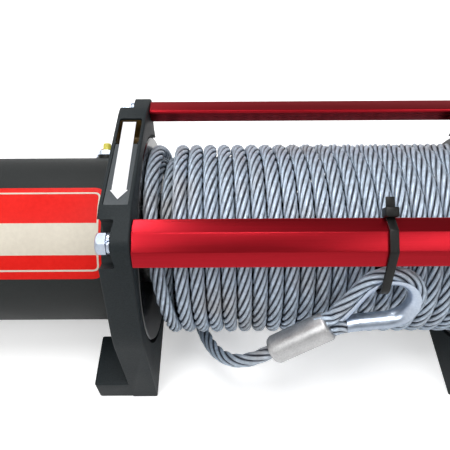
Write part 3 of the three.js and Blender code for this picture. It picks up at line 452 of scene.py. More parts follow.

# %% [markdown]
# ## Paint, plate and bare metal
#
# The castings wear a fine-textured dark powder coat and the motor a smoother black. The tie bars
# are drawn aluminium with a bright red anodised skin: the drawing leaves faint lines that run
# lengthwise, so their grain is stretched along X. Fasteners and thimble are zinc plated. The drum's
# gloss near-black is painted shade, for flanges that sit in the shadow of their supports. Each
# finish goes with the name of a slot.

# %% The finishes
casting_coat = surface(
    "black_casting", "cast_powder_coat", (0.009, 0.013, 0.015), (0.019, 0.025, 0.028), (0.48, 0.62),
    1100, 0.35, 16, specular=0.2)
motor_coat = surface(
    "motor_paint", "motor_satin_black", (0.012, 0.014, 0.014), (0.022, 0.025, 0.025), (0.46, 0.58),
    1500, 0.3, 12, specular=0.2)
red_anodised = surface(
    "red_anodised", "red_anodised", (0.38, 0.003, 0.010), (0.46, 0.006, 0.018), (0.26, 0.34),
    2600, 0.06, 160, 0.95, coat=0.18, stretch=(0.012, 1, 1))
# The drum's near-black is painted shade: it darkens the flanges as their shadow does.
flange_painted_shade_black = surface(
    "black_enamel", "gloss_black_painted_shade", (0.008, 0.008, 0.009), (0.014, 0.014, 0.016), (0.10, 0.18),
    600, 0.04, 40)
zinc_plate = surface(
    "zinc_plate", "zinc_plate", (0.46, 0.54, 0.66), (0.62, 0.69, 0.80), (0.26, 0.40), 700, 0.08, 60, 0.95)
ferrule_alloy = surface(
    "ferrule_alloy", "ferrule_alloy", (0.46, 0.46, 0.47), (0.66, 0.66, 0.66), (0.34, 0.5), 900, 0.2, 90, 0.9)
black_nylon = surface(
    "black_plastic", "black_nylon", (0.005, 0.005, 0.005), (0.011, 0.011, 0.010), (0.40, 0.5),
    500, 0.05, 80, specular=0.25)
label_red = surface(
    "red_anodised", "label_red", (0.66, 0.008, 0.005), (0.74, 0.014, 0.009), (0.38, 0.46),
    400, 0.02, 30, specular=0.15)
label_cream = surface(
    "ferrule_alloy", "label_cream", (0.60, 0.55, 0.46), (0.67, 0.62, 0.52), (0.38, 0.46),
    400, 0.02, 30, specular=0.25)
sticker_white = surface(
    "black_casting", "sticker_white", (0.72, 0.72, 0.75), (0.78, 0.78, 0.81), (0.32, 0.40), 400, 0.02, 40)
panel_grey = surface(
    "black_casting", "panel_film", (0.014, 0.022, 0.028), (0.026, 0.036, 0.043), (0.36, 0.46),
    900, 0.1, 40, specular=0.4)
cap_yellow = surface(
    "yellow_cap", "cap_yellow", (0.62, 0.54, 0.06), (0.76, 0.68, 0.12), (0.32, 0.42), 500, 0.05, 90)
cap_tan = surface(
    "orange_cap", "cap_tan", (0.48, 0.26, 0.12), (0.62, 0.36, 0.18), (0.32, 0.42), 500, 0.05, 90)
machined_steel = surface(
    "machined_steel", "machined_steel", (0.36, 0.37, 0.39), (0.52, 0.53, 0.55), (0.22, 0.36),
    1800, 0.12, 50, 0.95)
copper_wire = surface(
    "copper", "varnished_copper", (0.36, 0.12, 0.05), (0.62, 0.26, 0.12), (0.24, 0.4), 1200, 0.2, 70, 0.9)
oiled_bronze = surface(
    "bronze", "oiled_bronze", (0.34, 0.22, 0.08), (0.52, 0.36, 0.15), (0.3, 0.45), 2000, 0.25, 60, 0.9)
# The window lining is dark brown with golden patches; the patches are painted glints.
pocket_brown = surface(
    "black_casting", "window_brown_and_painted_glint", (0.020, 0.012, 0.004), (0.20, 0.12, 0.03), (0.35, 0.5),
    300, 0.2, 90, 0.2)
print("finishes:", len(bpy.data.materials))

# %% [markdown]
# ## From a drawn line to a solid piece
#
# Nearly everything on a winch is either turned or cut from plate. Turned pieces start as half a
# profile and are spun round the drum's axis. Plate pieces start as an outline and are extruded
# along it. Real corners are never sharp, so a line's corners are rounded first and solid edges are
# bevelled after. Booleans cut holes and pockets and are applied at once, so no modifier is left.

# %% Helpers for turned and cut pieces
def soften(points, radius, steps=3, closed=False):
    """Rounds the corners of a drawn line; a closed line rounds its first corner too."""
    out = []
    count = len(points)
    for i, p in enumerate(points):
        if not closed and i in (0, count - 1):
            out.append(tuple(p))
            continue
        here, before, after = Vector(p), Vector(points[i - 1]), Vector(points[(i + 1) % count])
        back, on = before - here, after - here
        reach = min(radius, back.length * 0.45, on.length * 0.45)
        start, end = here + back.normalized() * reach, here + on.normalized() * reach
        for k in range(steps + 1):
            t = k / steps
            out.append(tuple(start * (1 - t) ** 2 + here * 2 * t * (1 - t) + end * t**2))
    return out


MERGE = 0.002
LEVEL = 1e-6
SLIVER = 0.01


def move(bm, x, y, z):
    bmesh.ops.translate(bm, verts=bm.verts, vec=(x, y, z))


def turn(bm, degrees):
    """Turns a piece about the X axis."""
    bmesh.ops.rotate(bm, verts=bm.verts, cent=(0, 0, 0), matrix=Matrix.Rotation(radians(degrees), 3, "X"))


def set_on_axes(bm, place, *axes):
    """Puts a piece with its own x, y and z along three directions at a place."""
    basis = Matrix(axes).transposed().to_4x4()
    bmesh.ops.transform(bm, matrix=Matrix.Translation(place) @ basis, verts=bm.verts)


def draw_out(bm, faces, step):
    """Extrudes faces by a step and gives back their far ends."""
    grown = bmesh.ops.extrude_face_region(bm, geom=faces)["geom"]
    bmesh.ops.translate(bm, verts=[g for g in grown if isinstance(g, bmesh.types.BMVert)], vec=step)
    return [g for g in grown if isinstance(g, bmesh.types.BMFace)]


def round_edges(bm, edges, radius, segments):
    bmesh.ops.bevel(bm, geom=edges, offset=radius, offset_type="OFFSET", affect="EDGES", segments=segments,
                    profile=0.5, material=-1, clamp_overlap=True)


def level_edges(bm, axis):
    """The edges whose two ends have the same place along an axis."""
    return [e for e in bm.edges if abs(e.verts[0].co[axis] - e.verts[1].co[axis]) < LEVEL]


def lathe(profile, steps=96):
    """Spins a profile of (x, radius) round the drum's axis."""
    bm = bmesh.new()
    ring = [bm.verts.new((x, 0, r)) for x, r in profile]
    edges = [bm.edges.new(pair) for pair in zip(ring, ring[1:])]
    bmesh.ops.spin(bm, geom=ring + edges, cent=(0, 0, 0), axis=(1, 0, 0), dvec=(0, 0, 0),
                   angle=2 * pi, steps=steps, use_merge=True, use_duplicate=False)
    bmesh.ops.remove_doubles(bm, verts=bm.verts, dist=MERGE)
    bmesh.ops.recalc_face_normals(bm, faces=bm.faces)
    return bm


def plate(outline, x0, x1, bevel=0.0, segments=2):
    """Extrudes an outline of (y, z) along X and rounds its two rims."""
    bm = bmesh.new()
    draw_out(bm, [bm.faces.new([bm.verts.new((x0, y, z)) for y, z in outline])], (x1 - x0, 0, 0))
    bmesh.ops.recalc_face_normals(bm, faces=bm.faces)
    if bevel:
        round_edges(bm, level_edges(bm, 0), bevel, segments)
    return bm


def block(low, high, bevel=0.0, segments=2):
    """A box between two corners, with all its edges rounded."""
    bm = bmesh.new()
    bmesh.ops.create_cube(bm, size=1.0)
    low, high = Vector(low), Vector(high)
    bmesh.ops.scale(bm, verts=bm.verts, vec=high - low)
    move(bm, *(low + high) / 2)
    if bevel:
        round_edges(bm, bm.edges[:], bevel, segments)
    return bm


def upright(radius, x, y, z0, z1, steps=32, bevel=0.0):
    """A round post along Z."""
    bm = bmesh.new()
    bmesh.ops.create_cone(bm, cap_ends=True, segments=steps, radius1=radius, radius2=radius, depth=z1 - z0)
    if bevel:
        round_edges(bm, level_edges(bm, 2), bevel, 3)
    move(bm, x, y, (z0 + z1) / 2)
    return bm


def rod(radius, x0, x1, y=0.0, z=0.0, steps=32):
    """A round bar along X."""
    bm = lathe([(x0, 0), (x0, radius), (x1, radius), (x1, 0)], steps)
    move(bm, 0, y, z)
    return bm


def tube(x0, x1, radius, bore, lip):
    """A turned tube. The rounding of its outer rims starts at the radius lip."""
    run = 4 if x1 > x0 else -4
    near = soften([(x0, lip), (x0, radius), (x0 + run, radius)], 0.8, 2)
    far = soften([(x1 - run, radius), (x1, radius), (x1, lip)], 0.8, 2)
    return lathe([(x0, bore), *near, *far, (x1, bore), (x0, bore)], 128)


def mesh_from(name, bm):
    mesh = bpy.data.meshes.new(name)
    bm.to_mesh(mesh)
    bm.free()
    return mesh


def temporary(bm):
    return add_object("tool", mesh_from("tool", bm))


def carve(body, tools, how="DIFFERENCE"):
    """Cuts tools from a body, or joins them to it, and gives back one bmesh."""
    work = temporary(body)
    helpers = [temporary(tool) for tool in tools]
    for helper in helpers:
        step = work.modifiers.new("step", "BOOLEAN")
        step.operation, step.solver, step.object = how, "EXACT", helper
    done = bpy.data.meshes.new_from_object(work.evaluated_get(bpy.context.evaluated_depsgraph_get()))
    bm = bmesh.new()
    bm.from_mesh(done)
    for thing in [work, *helpers]:
        mesh = thing.data
        bpy.data.objects.remove(thing)
        bpy.data.meshes.remove(mesh)
    bpy.data.meshes.remove(done)
    bmesh.ops.dissolve_degenerate(bm, dist=SLIVER, edges=bm.edges)
    return bm


def finish_piece(name, bm, finish, stands_for=None, body="frame", sharp=32.0):
    """Takes a bmesh in winch millimetres to a finished piece in metres."""
    bmesh.ops.remove_doubles(bm, verts=bm.verts, dist=MERGE)
    bmesh.ops.recalc_face_normals(bm, faces=bm.faces)
    bmesh.ops.transform(bm, matrix=WINCH_FRAME, verts=bm.verts)
    mesh = mesh_from(name, bm)
    mesh.shade_smooth()
    mesh.set_sharp_from_angle(angle=radians(sharp))
    link_piece(name, mesh, finish, stands_for, body)


def turned_round(bm):
    """Mirrors a gearbox-side piece to the motor side."""
    bmesh.ops.scale(bm, verts=bm.verts, vec=(-1, 1, 1))
    bmesh.ops.reverse_faces(bm, faces=bm.faces)
    return bm


print("modelling helpers ready")

# %% [markdown]
# ## Drum supports
#
# Each support is one casting: a plate with two feet, a boss for each tie bar, a stepped bore for
# the flange and bushing, a window in the crown and a shallow panel in front of it. It is built as
# a foundry would see it: a rounded blank first, then every machined cut. The gearbox side is
# modelled and the motor side is its mirror image.

# %% The two castings
INNER_X, OUTER_X = 106.0, 124.4
BAR_REACH = 88.3
BAR_ANGLE = radians(40.4)
BAR_LEAN = radians(36)
BAR_Y, BAR_Z = BAR_REACH * sin(BAR_ANGLE), BAR_REACH * cos(BAR_ANGLE)
CROWN_Z = 80.4
SIDE_Y = 84.0
NOTCH_X = 116.7
PANEL_FLOOR = CROWN_Z - 1.0
BOSS_R = 8.5
RECESS_X, RECESS_R = 112.3, 73
BAR_BOLT_R, FOOT_BOLT_R, FOOT_BOLT_Y = 4.3, 5.3, 57.15


def support_outline():
    boss = [(BAR_Y + BOSS_R * cos(radians(a)), BAR_Z + BOSS_R * sin(radians(a)))
            for a in np.linspace(15, 79, 7)]
    front_flank = soften([(SIDE_Y, FLOOR_Z), (SIDE_Y, 4.2), boss[0]], 9.0, 4)[:-1]
    rear_flank = soften([(SIDE_Y, FLOOR_Z), (SIDE_Y, -25.2), (60, 36.1), (58, 55), boss[0]], 5.0, 4)[:-1]
    crown = soften([boss[-1], (42, CROWN_Z), (0, CROWN_Z)], 5.0, 4)[1:-1]
    return rear_flank + boss + crown + [(-y, z) for y, z in reversed(front_flank + boss + crown)]


def support_blank():
    body = plate(support_outline(), INNER_X, OUTER_X, 1.1, 3)
    feet = [block((NOTCH_X, y0, FLOOR_Z), (148, y1, -58), 1.6, 3)
            for y0, y1 in ((46.5, SIDE_Y), (-SIDE_Y, -46.5))]
    return carve(body, feet, "UNION")


def support_cuts():
    pocket = block((108.2, 9.4, CROWN_Z - 16), (122.2, 33.1, CROWN_Z + 3), 1.6, 3)
    panel = block((108.2, -40.8, PANEL_FLOOR), (122.2, 9.6, CROWN_Z + 3), 0.5, 2)
    arch = block((112.3, -34, FLOOR_Z - 9), (130, 34, FLOOR_Z + 9), 3.0, 3)
    step = soften([(111, RECESS_R), (RECESS_X, RECESS_R), (RECESS_X, 71)], 1.2, 2)
    recess = lathe([(100, 0), (100, RECESS_R), *step, (RECESS_X, 0)], 72)
    cuts = [pocket, panel, arch, recess, rod(34.2, 105, 121.8, steps=64), rod(26, 105, 130, steps=64)]
    for side, reach in ((-1, 13.5), (1, 16.5)):
        rim = soften([(NOTCH_X, 7), (NOTCH_X - 0.4, 9), (NOTCH_X - 2, reach), (128, reach)], 2.0, 4)
        seat = lathe([(NOTCH_X, 0), *rim, (128, 0)], 40)
        move(seat, 0, side * BAR_Y, BAR_Z)
        y = side * FOOT_BOLT_Y
        nut_slot = block((119.5, y - 7.5, -71), (152, y + 7.5, -61.5), 1.0, 2)
        cuts += [seat, rod(BAR_BOLT_R, 100, 130, side * BAR_Y, BAR_Z, 24),
                 upright(FOOT_BOLT_R, 127, y, FLOOR_Z - 3, -50, 24), nut_slot]
    return cuts


def casting():
    bm = carve(support_blank(), support_cuts())
    bmesh.ops.dissolve_limit(bm, angle_limit=radians(0.5), verts=bm.verts, edges=bm.edges)
    return bm


finish_piece("support_casting_gear_side", casting(), casting_coat, "gear_side_support")
finish_piece("support_casting_motor_side", turned_round(casting()), casting_coat, "motor_side_support")

# %% [markdown]
# ## Panel film and arrow
#
# The shallow panel carries a lighter film, and a white arrow lies over it and over part of the
# window. The arrow shows which way the rope runs on. Its words are left off. Both are thin
# plates with a real edge, which catches a line of light that a painted shape would not have.

# %% The panel film and the bare arrow
ARROW_X, ARROW_TILT = -114.6, 0.02


def panel_sheet(outline, z0, z1):
    """Extrudes an outline of (x, y) between two heights over the panel's floor."""
    bm = bmesh.new()
    face = bm.faces.new([bm.verts.new((x, y, PANEL_FLOOR + z0)) for x, y in outline])
    draw_out(bm, [face], (0, 0, z1 - z0))
    return bm


def arrow_outline():
    shaft, head, shoulder, tip, top = 4.1, 5.0, -29.6, -36.5, 30.0
    half = [(shaft, top), (shaft, shoulder), (head, shoulder), (0, tip)]
    drawn = half + [(-x, y) for x, y in reversed(half[:-1])]
    return [(ARROW_X + x - ARROW_TILT * (y - tip), y) for x, y in drawn]


def window_lining():
    """A dark brown lining on the window's walls and floor, as thin as paint, open where the flange turns;
    its golden patches are painted glints.
    """
    outer = block((-122.1, 9.5, CROWN_Z - 15.9), (-108.3, 33.0, CROWN_Z + 1), 1.6, 3)
    inner = block((-121.9, 9.7, CROWN_Z - 15.7), (-108.5, 32.8, CROWN_Z + 3), 1.5, 3)
    mouth = block((-130, 0, CROWN_Z - 1.5), (-100, 40, CROWN_Z + 4))
    return carve(outer, [inner, rod(RECESS_R, -112.1, -100, 0, 0, 96), mouth])


finish_piece("window_brown_lining", window_lining(), pocket_brown)
panel_outline = soften([(-121.9, -40.4), (-108.5, -40.4), (-108.5, 9.2), (-121.9, 9.2)], 0.8, 2, closed=True)
finish_piece("panel_film", panel_sheet(panel_outline, 0.02, 0.3), panel_grey)
finish_piece("arrow_sticker", panel_sheet(arrow_outline(), 0.31, 0.6), sticker_white)

# %% [markdown]
# ## Tie bars
#
# Each bar is a drawn section: a flat hexagon with a narrow nose on its two long edges. Each one
# leans, so that its flat looks up and outwards. A small bevel along each crease gives the thin
# bright line of a real one.

# %% The two bars
BAR_END = 105.7
BAR_HALF_T, BAR_FLAT, BAR_EDGE, BAR_NOSE = 6.5, 5.3, 13.1, 0.8
BAR_SHARP = 10


def tie_bar(side):
    half = [(BAR_HALF_T, -BAR_FLAT), (BAR_HALF_T, BAR_FLAT), (BAR_NOSE, BAR_EDGE), (-BAR_NOSE, BAR_EDGE)]
    section = half + [(-r, -t) for r, t in half]
    lean = pi / 2 - side * BAR_LEAN
    turned = [(side * BAR_Y + r * cos(lean) - t * sin(lean), BAR_Z + r * sin(lean) + t * cos(lean))
              for r, t in soften(section, 0.55, 2, closed=True)]
    holes = [rod(BAR_BOLT_R, end - 22, end + 22, side * BAR_Y, BAR_Z, 20) for end in (-BAR_END, BAR_END)]
    return carve(plate(turned, -BAR_END, BAR_END, 0.4, 2), holes)


for place, side in (("front", -1), ("rear", 1)):
    finish_piece(f"{place}_red_bar", tie_bar(side), red_anodised, f"{place}_tie_bar", sharp=BAR_SHARP)

# %% [markdown]
# ## Bolts and split washers
#
# A hexagon head is a hexagonal plate whose corners a lathe has turned away. So the plate is
# intersected with a turned dome, which leaves the curved edges of a real head. The split washer
# is a flat ring with one narrow slit. Heads and slits end where the spanner left them, a little
# turned.

# %% The bolts and washers
HEAD_AF, HEAD_T, HEAD_TURN = 11.6, 5.8, 10
WASHER_X, WASHER_T, SLIT_TURN = 117.0, 2.0, 29
HEAD_X = WASHER_X + 2.3


def hex_head(across_flats, x0, x1, relief):
    corner = across_flats / 2 / cos(pi / 6)
    hexagon = [(corner * cos(k * pi / 3), corner * sin(k * pi / 3)) for k in range(6)]
    dome = lathe([(x0 - 1, 0), (x0 - 1, corner + 1), (x0 + 0.1, corner), (x1 - relief, corner),
                  (x1 - relief * 0.4, across_flats / 2 + 0.15), (x1, across_flats / 2 - 0.6), (x1, 0)], 48)
    return carve(plate(hexagon, x0, x1), [dome], "INTERSECT")


def bolt(side):
    shank = lathe([(83.7, 0), (83.7, 3.5), (84.2, 4), (HEAD_X + 1, 4), (HEAD_X + 1, 0)], 24)
    bm = carve(hex_head(HEAD_AF, HEAD_X, HEAD_X + HEAD_T, 1.8), [shank], "UNION")
    turn(bm, HEAD_TURN)
    move(bm, 0, side * BAR_Y, BAR_Z)
    return bm


def split_washer(side):
    x0, x1 = WASHER_X, WASHER_X + WASHER_T
    section = [(x0, 5.6), (x0, 5.8), (x0 + 0.3, 6.1), (x1 - 0.3, 6.1), (x1, 5.8), (x1, 4.3), (x0, 4.3)]
    section.append(section[0])
    slit = block((x0 - 1, -0.8, 4), (x1 + 1, 0.8, 8))
    turn(slit, SLIT_TURN)
    bm = carve(lathe(section, 64), [slit])
    move(bm, 0, side * BAR_Y, BAR_Z)
    return bm


for place, side in (("front", -1), ("rear", 1)):
    for hand in ("gear", "motor"):
        for label, maker in (("bolt", bolt), ("lock_washer", split_washer)):
            shape = turned_round(maker(side)) if hand == "motor" else maker(side)
            node = f"{place}_{label}_{hand}_side"
            finish_piece(f"plated_{node}", shape, zinc_plate, node)

# %% [markdown]
# ## Drum
#
# Only the two flanges show, and most of each is in the shadow of its support. They are turned
# plates, so their rims get a small radius. The barrel and journals are part of the same weld. The
# whole drum's near-black colour is painted shade for those shadowed flanges.

# %% The drum
def drum_profile():
    side = [(106.0, 32.0), (106.0, 70.2), (106.8, 71.0), (110.7, 71.0), (111.5, 70.2), (111.5, 30.5),
            (112.0, 30.0), (120.5, 30.0), (121.5, 29.0), (121.5, 22.6), (120.9, 22.0)]
    line = [(-x, r) for x, r in reversed(side)] + side
    return line + [line[0]]


finish_piece("drum_barrel", lathe(drum_profile(), 128), flange_painted_shade_black, "rope_drum", "drum")

# %% [markdown]
# ## Motor
#
# The can is a plain drawn tube with a cap spun over its far end. A shallow groove shows where
# they meet. The label is drawn flat, cut into narrow strips so that it can bend, and rolled on to
# the can. Its words are left off. The red field, the thin inner line and the pale band stay.

# %% The motor can and its cap
MOTOR_R = 57.0
CAP_ROUND = 10
CAN_X1, CAN_X2, CAP_END = 124.7, 282.4, 314.4


def cap_profile():
    x, end = -CAN_X2 - 0.3, -CAP_END
    edge = [(end + CAP_ROUND * (1 - sin(radians(a))), MOTOR_R - CAP_ROUND * (1 - cos(radians(a))))
            for a in range(0, 91, 9)]
    return [(x, 51), (x, 56.3), (x - 0.7, MOTOR_R), *edge, (end, 12), (end + 0.8, 11), (end + 0.8, 0),
            (end + 6, 0), (end + 6, 41), (x, 51)]


finish_piece("motor_body", tube(-CAN_X1, -CAN_X2, MOTOR_R, 51, 53), motor_coat, "motor_can")
finish_piece("motor_cap", lathe(cap_profile(), 128), motor_coat, "motor_end_cap")


# %% The motor label
def rounded_box(x0, x1, s0, s1, radius):
    return soften([(x0, s0), (x1, s0), (x1, s1), (x0, s1)], radius, 5, closed=True)


STRIPS, STRIPS_FROM, STRIP = 60, 16, 1.5
FILM_T = 0.14


def arc(degrees):
    return MOTOR_R * radians(degrees)


def rolled(bm):
    """Cuts a flat piece in strips and rolls it on to the motor: the height becomes an angle."""
    for k in range(STRIPS):
        cut = (0, 0, arc(STRIPS_FROM + k * STRIP))
        whole = bm.verts[:] + bm.edges[:] + bm.faces[:]
        bmesh.ops.bisect_plane(bm, geom=whole, plane_co=cut, plane_no=(0, 0, 1))
    for v in bm.verts:
        angle, r = v.co.z / MOTOR_R, MOTOR_R + v.co.y
        v.co = Vector((v.co.x, -r * cos(angle), r * sin(angle)))
    return bm


def label_sheet(outline, lift, inner=None):
    """A thin sheet of (x, arc length); inner is the line of a hole in it."""
    bm = bmesh.new()
    outer = [bm.verts.new((x, 0, s)) for x, s in outline]
    if inner is None:
        bm.faces.new(outer)
    else:
        hole = [bm.verts.new((x, 0, s)) for x, s in inner]
        loops = [bm.edges.new(pair) for line in (outer, hole) for pair in zip(line, line[1:] + line[:1])]
        bmesh.ops.bridge_loops(bm, edges=loops)
    draw_out(bm, bm.faces[:], (0, FILM_T, 0))
    move(bm, 0, lift, 0)
    bmesh.ops.recalc_face_normals(bm, faces=bm.faces)
    return rolled(bm)


left, right, low, high = -275.0, -132.4, arc(31.0), arc(81.2)
LINE_W, BAND_INSET = 1.1, 0.5
label = rounded_box(-279.0, -130.9, arc(25.8), arc(84.8), 6.0)
finish_piece("label_field", label_sheet(label, 0.02), label_red)
line_outer = rounded_box(left, right, low, high, 4.0)
line_inner = rounded_box(left + LINE_W, right - LINE_W, low + LINE_W, high - LINE_W, 3.0)
finish_piece("label_line", label_sheet(line_outer, 0.17, line_inner), label_cream)
x0, x1 = left + BAND_INSET, right - BAND_INSET
band = [(x0, arc(41.4)), (x1, arc(41.4)), (x1, arc(60.8)), (x0, arc(60.8))]
finish_piece("label_band", label_sheet(band, 0.19), label_cream)

# %% [markdown]
# ## Motor terminals
#
# Three studs stand out of the can behind the support. Each has a black insulating washer, a
# plated nut and a soft coloured cap that is pulled on until the lead is fitted.

# %% The terminals
def stud_place(index):
    angle = radians(43 - 15 * index)
    aim = Matrix.Rotation(angle, 4, "X") @ Matrix.Rotation(radians(90), 4, "Z")
    return Matrix.Translation((-(OUTER_X + 14.9 + 6.2 * index), 0, 0)) @ aim


def stud_piece(name, bm, index, finish, node=None):
    bmesh.ops.transform(bm, matrix=stud_place(index), verts=bm.verts)
    finish_piece(name, bm, finish, node)


for index, tint in enumerate((cap_yellow, cap_tan, cap_tan)):
    number = index + 1
    washer = lathe([(55.4, 0), *soften([(55.4, 6.5), (59.4, 6.5), (59.4, 3)], 0.5, 2), (59.4, 0)], 32)
    top = soften([(62.4, 2.9), (67.5, 2.7), (67.5, 0)], 1.2, 4)
    cap = lathe([(61.0, 0), (61.0, 3.2), (62.2, 3.2), (62.3, 2.9), *top], 28)
    stud_piece(f"terminal_washer_{number}", washer, index, black_nylon, f"terminal_stud_{number}")
    stud_piece(f"terminal_nut_{number}", hex_head(10, 59.5, 62.7, 0.6), index, zinc_plate)
    stud_piece(f"terminal_cap_{number}", cap, index, tint)

# %% [markdown]
# ## Gearbox
#
# The ring gears sit in a plain turned housing. Its cover is a stepped disc. A boss on top holds
# the free-spool pin, and the lever on it turns a quarter to lift that pin.

# %% The gear housing and its cover
GEAR_R = 64.0
HOUSING_X1, HOUSING_X2, COVER_END = 124.7, 205.1, 217.4
CLUTCH_X, PIN_BORE_R = 194.4, 4.3
HOUSING_BORE_R = 57


def housing():
    wall = tube(HOUSING_X1, HOUSING_X2, GEAR_R, HOUSING_BORE_R, 58)
    boss = upright(10.5, CLUTCH_X, 0, 57, 70, 48, 0.6)
    room = rod(HOUSING_BORE_R, HOUSING_X1 - 5, HOUSING_X2 + 5, steps=128)
    bore = upright(PIN_BORE_R, CLUTCH_X, 0, 40, 75, 24)
    return carve(carve(wall, [boss], "UNION"), [room, bore])


def cover_profile():
    x = HOUSING_X2 + 0.3
    rim = [(x, GEAR_R - 4), (x, GEAR_R), (211.4, GEAR_R), (211.4, 47), (COVER_END, 44), (COVER_END, 30)]
    return [(x, 0), *soften(rim, 1.4, 3), (COVER_END, 12), (COVER_END - 0.8, 11), (COVER_END - 0.8, 0)]


finish_piece("gearbox_housing", housing(), casting_coat, "gear_housing")
finish_piece("gearbox_cover", lathe(cover_profile(), 128), casting_coat, "gear_end_cover")


# %% The free-spool lever
def lever():
    hub = upright(14, CLUTCH_X, 0, 70.3, 82.3, 48, 1.2)
    arm = block((CLUTCH_X - 5, -46, 75.3), (CLUTCH_X + 5, 0, 82.3), 1.4, 3)
    knob = upright(8, CLUTCH_X, -46, 75.3, 86.3, 40, 2.0)
    socket = upright(PIN_BORE_R, CLUTCH_X, 0, 60, 79.5, 24)
    return carve(carve(hub, [arm, knob], "UNION"), [socket])


finish_piece("free_spool_lever", lever(), black_nylon, "clutch_lever", "lever")

# %% [markdown]
# ## Thimble and ferrule
#
# The thimble is a pressed channel that keeps the rope's bend open. Its section is a U, spun about
# the centre of the eye and drawn out along both legs. The ferrule is an alloy sleeve with a
# bevelled mouth. A press has squeezed it, so it has faint flats.

# %% The thimble
THIMBLE_GROOVE, THIMBLE_T = 4.8, 1.5
THIMBLE_LEG = ((18.0, 10.7), (11.0, 7.4), (7.5, 6.3))


def thimble():
    spread = np.radians(np.linspace(-64, 86, 15))
    wide = THIMBLE_GROOVE + THIMBLE_T
    inner, outer = ([(EYE_R - r * cos(a), r * sin(a)) for a in spread] for r in (THIMBLE_GROOVE, wide))
    section = soften(inner, 0.1, 1)[1:-1] + outer[::-1]
    start = Matrix.Rotation(radians(-EYE_ARC_HALF), 3, "Z")
    bm = bmesh.new()
    face = bm.faces.new([bm.verts.new(start @ Vector((r, 0, h))) for r, h in section])
    corner = Matrix.Rotation(radians(EYE_ARC_HALF), 3, "Z") @ Vector((EYE_R, 0, 0))
    stops = [Vector((a - EYE_CENTRE, b, 0)) for a, b in THIMBLE_LEG]
    steps = [(on - back).xy for back, on in zip([corner, *stops], stops)]
    leg_a = [face]
    for step in steps:
        leg_a = draw_out(bm, leg_a, (step.x, -step.y, 0))
    spun = bmesh.ops.spin(
        bm, geom=[face, *face.edges, *face.verts], cent=(0, 0, 0), axis=(0, 0, 1), dvec=(0, 0, 0),
        angle=radians(2 * EYE_ARC_HALF), steps=60, use_merge=False, use_duplicate=False)
    leg_b = [g for g in spun["geom_last"] if isinstance(g, bmesh.types.BMFace)]
    for step in steps:
        leg_b = draw_out(bm, leg_b, (step.x, step.y, 0))
    set_on_axes(bm, on_eye(EYE_CENTRE, 0), eye_axis, eye_across, eye_normal)
    return bm


finish_piece("zinc_thimble", thimble(), zinc_plate, "rope_thimble", sharp=50)


# %% The ferrule
FERRULE_R, PRESSED = 9.0, 0.22


def ferrule():
    r = FERRULE_R
    bm = lathe([(0.4, 0), (0.4, 5.8), *soften([(0, 6.0), (0, 7.4), (1.6, r), (12, r)], 0.6, 2),
                *soften([(28, r), (37.5, r), (40, 7.6), (40, 5.0)], 0.6, 2), (39.4, 4.7), (39.4, 0)], 64)
    for v in bm.verts:
        along = eased(v.co.x, 2, 8) * (1 - eased(v.co.x, 30, 38))
        flat = PRESSED * cos(4 * atan2(v.co.z, v.co.y)) * min(hypot(v.co.y, v.co.z) / r, 1) * along
        v.co.y *= 1 - max(flat, 0) / r
        v.co.z *= 1 - max(flat, 0) / r
    set_on_axes(bm, eye_mouth, -eye_axis, -eye_across, eye_normal)
    return bm


finish_piece("pressed_ferrule", ferrule(), ferrule_alloy, "rope_ferrule")

# %% [markdown]
# ## Cable tie
#
# A nylon tie holds the eye up against the front bar. A strap under tension takes the shortest way
# round what it holds, and that is a convex hull. So its side view is the hull of small circles at
# the bar's corners and round the rope, once for each face of the strap.

# %% The cable tie
TIE_X, TIE_W, TIE_T, TIE_ROUND = 32.0, 4.8, 1.3, 0.8


def upper_leg_at(x):
    upper = [p for p in eye_line if (Vector(p) - eye_mouth).dot(eye_across) > 0]
    return min(upper, key=lambda p: abs(p[0] - x))


bar_out = Vector((0, -sin(BAR_LEAN), cos(BAR_LEAN)))
bar_up = Vector((0, cos(BAR_LEAN), sin(BAR_LEAN)))


def tie_line(extra):
    half = [(BAR_HALF_T, -BAR_FLAT), (BAR_HALF_T, BAR_FLAT), (0, BAR_EDGE)]
    corners = half + [(-r, -t) for r, t in half]
    rounds = [(Vector((0, -BAR_Y, BAR_Z)) + bar_out * r + bar_up * t, TIE_ROUND + extra) for r, t in corners]
    for x in (TIE_X - 6, TIE_X + 6):
        leg = upper_leg_at(x)
        rounds.append((Vector((0, leg[1], leg[2])), ROPE_D / 2 + 0.3 + 1.5 + TIE_ROUND + extra))
    turns = np.linspace(0, 2 * pi, 32, endpoint=False)
    dots = [(at.y + r * cos(a), at.z + r * sin(a)) for at, r in rounds for a in turns]
    return [dots[i] for i in convex_hull_2d(dots)]


def tie_strap():
    x0, x1 = TIE_X - TIE_W / 2, TIE_X + TIE_W / 2
    return carve(plate(tie_line(TIE_T), x0, x1, 0.35, 2), [plate(tie_line(0), x0 - 2, x1 + 2)])


def tie_block(width, height, thick, lift, bevel):
    bm = block((-width / 2, -height / 2, -thick / 2), (width / 2, height / 2, thick / 2), bevel, 2)
    at = Vector((TIE_X, -BAR_Y, BAR_Z)) + bar_up * (lift - 1.2) + bar_out * 3.0
    set_on_axes(bm, at, Vector((1, 0, 0)), bar_up, -bar_out)
    return bm


TIE_LIFT = BAR_EDGE + TIE_ROUND + 2.7 + 0.3
finish_piece("nylon_tie_strap", tie_strap(), black_nylon, "cable_tie")
finish_piece("nylon_tie_head", tie_block(7.4, 5.4, 8, TIE_LIFT, 0.9), black_nylon)
finish_piece("nylon_tie_end", tie_block(TIE_W, 6, TIE_T, TIE_LIFT + 5.4, 0.3), black_nylon)

# %% [markdown]
# ## Inside pieces
#
# Gears, shafts, brake and armature keep their CAD shape: they are closed in, and a viewer meets
# them only when the winch is taken apart. Each still gets its own finish.

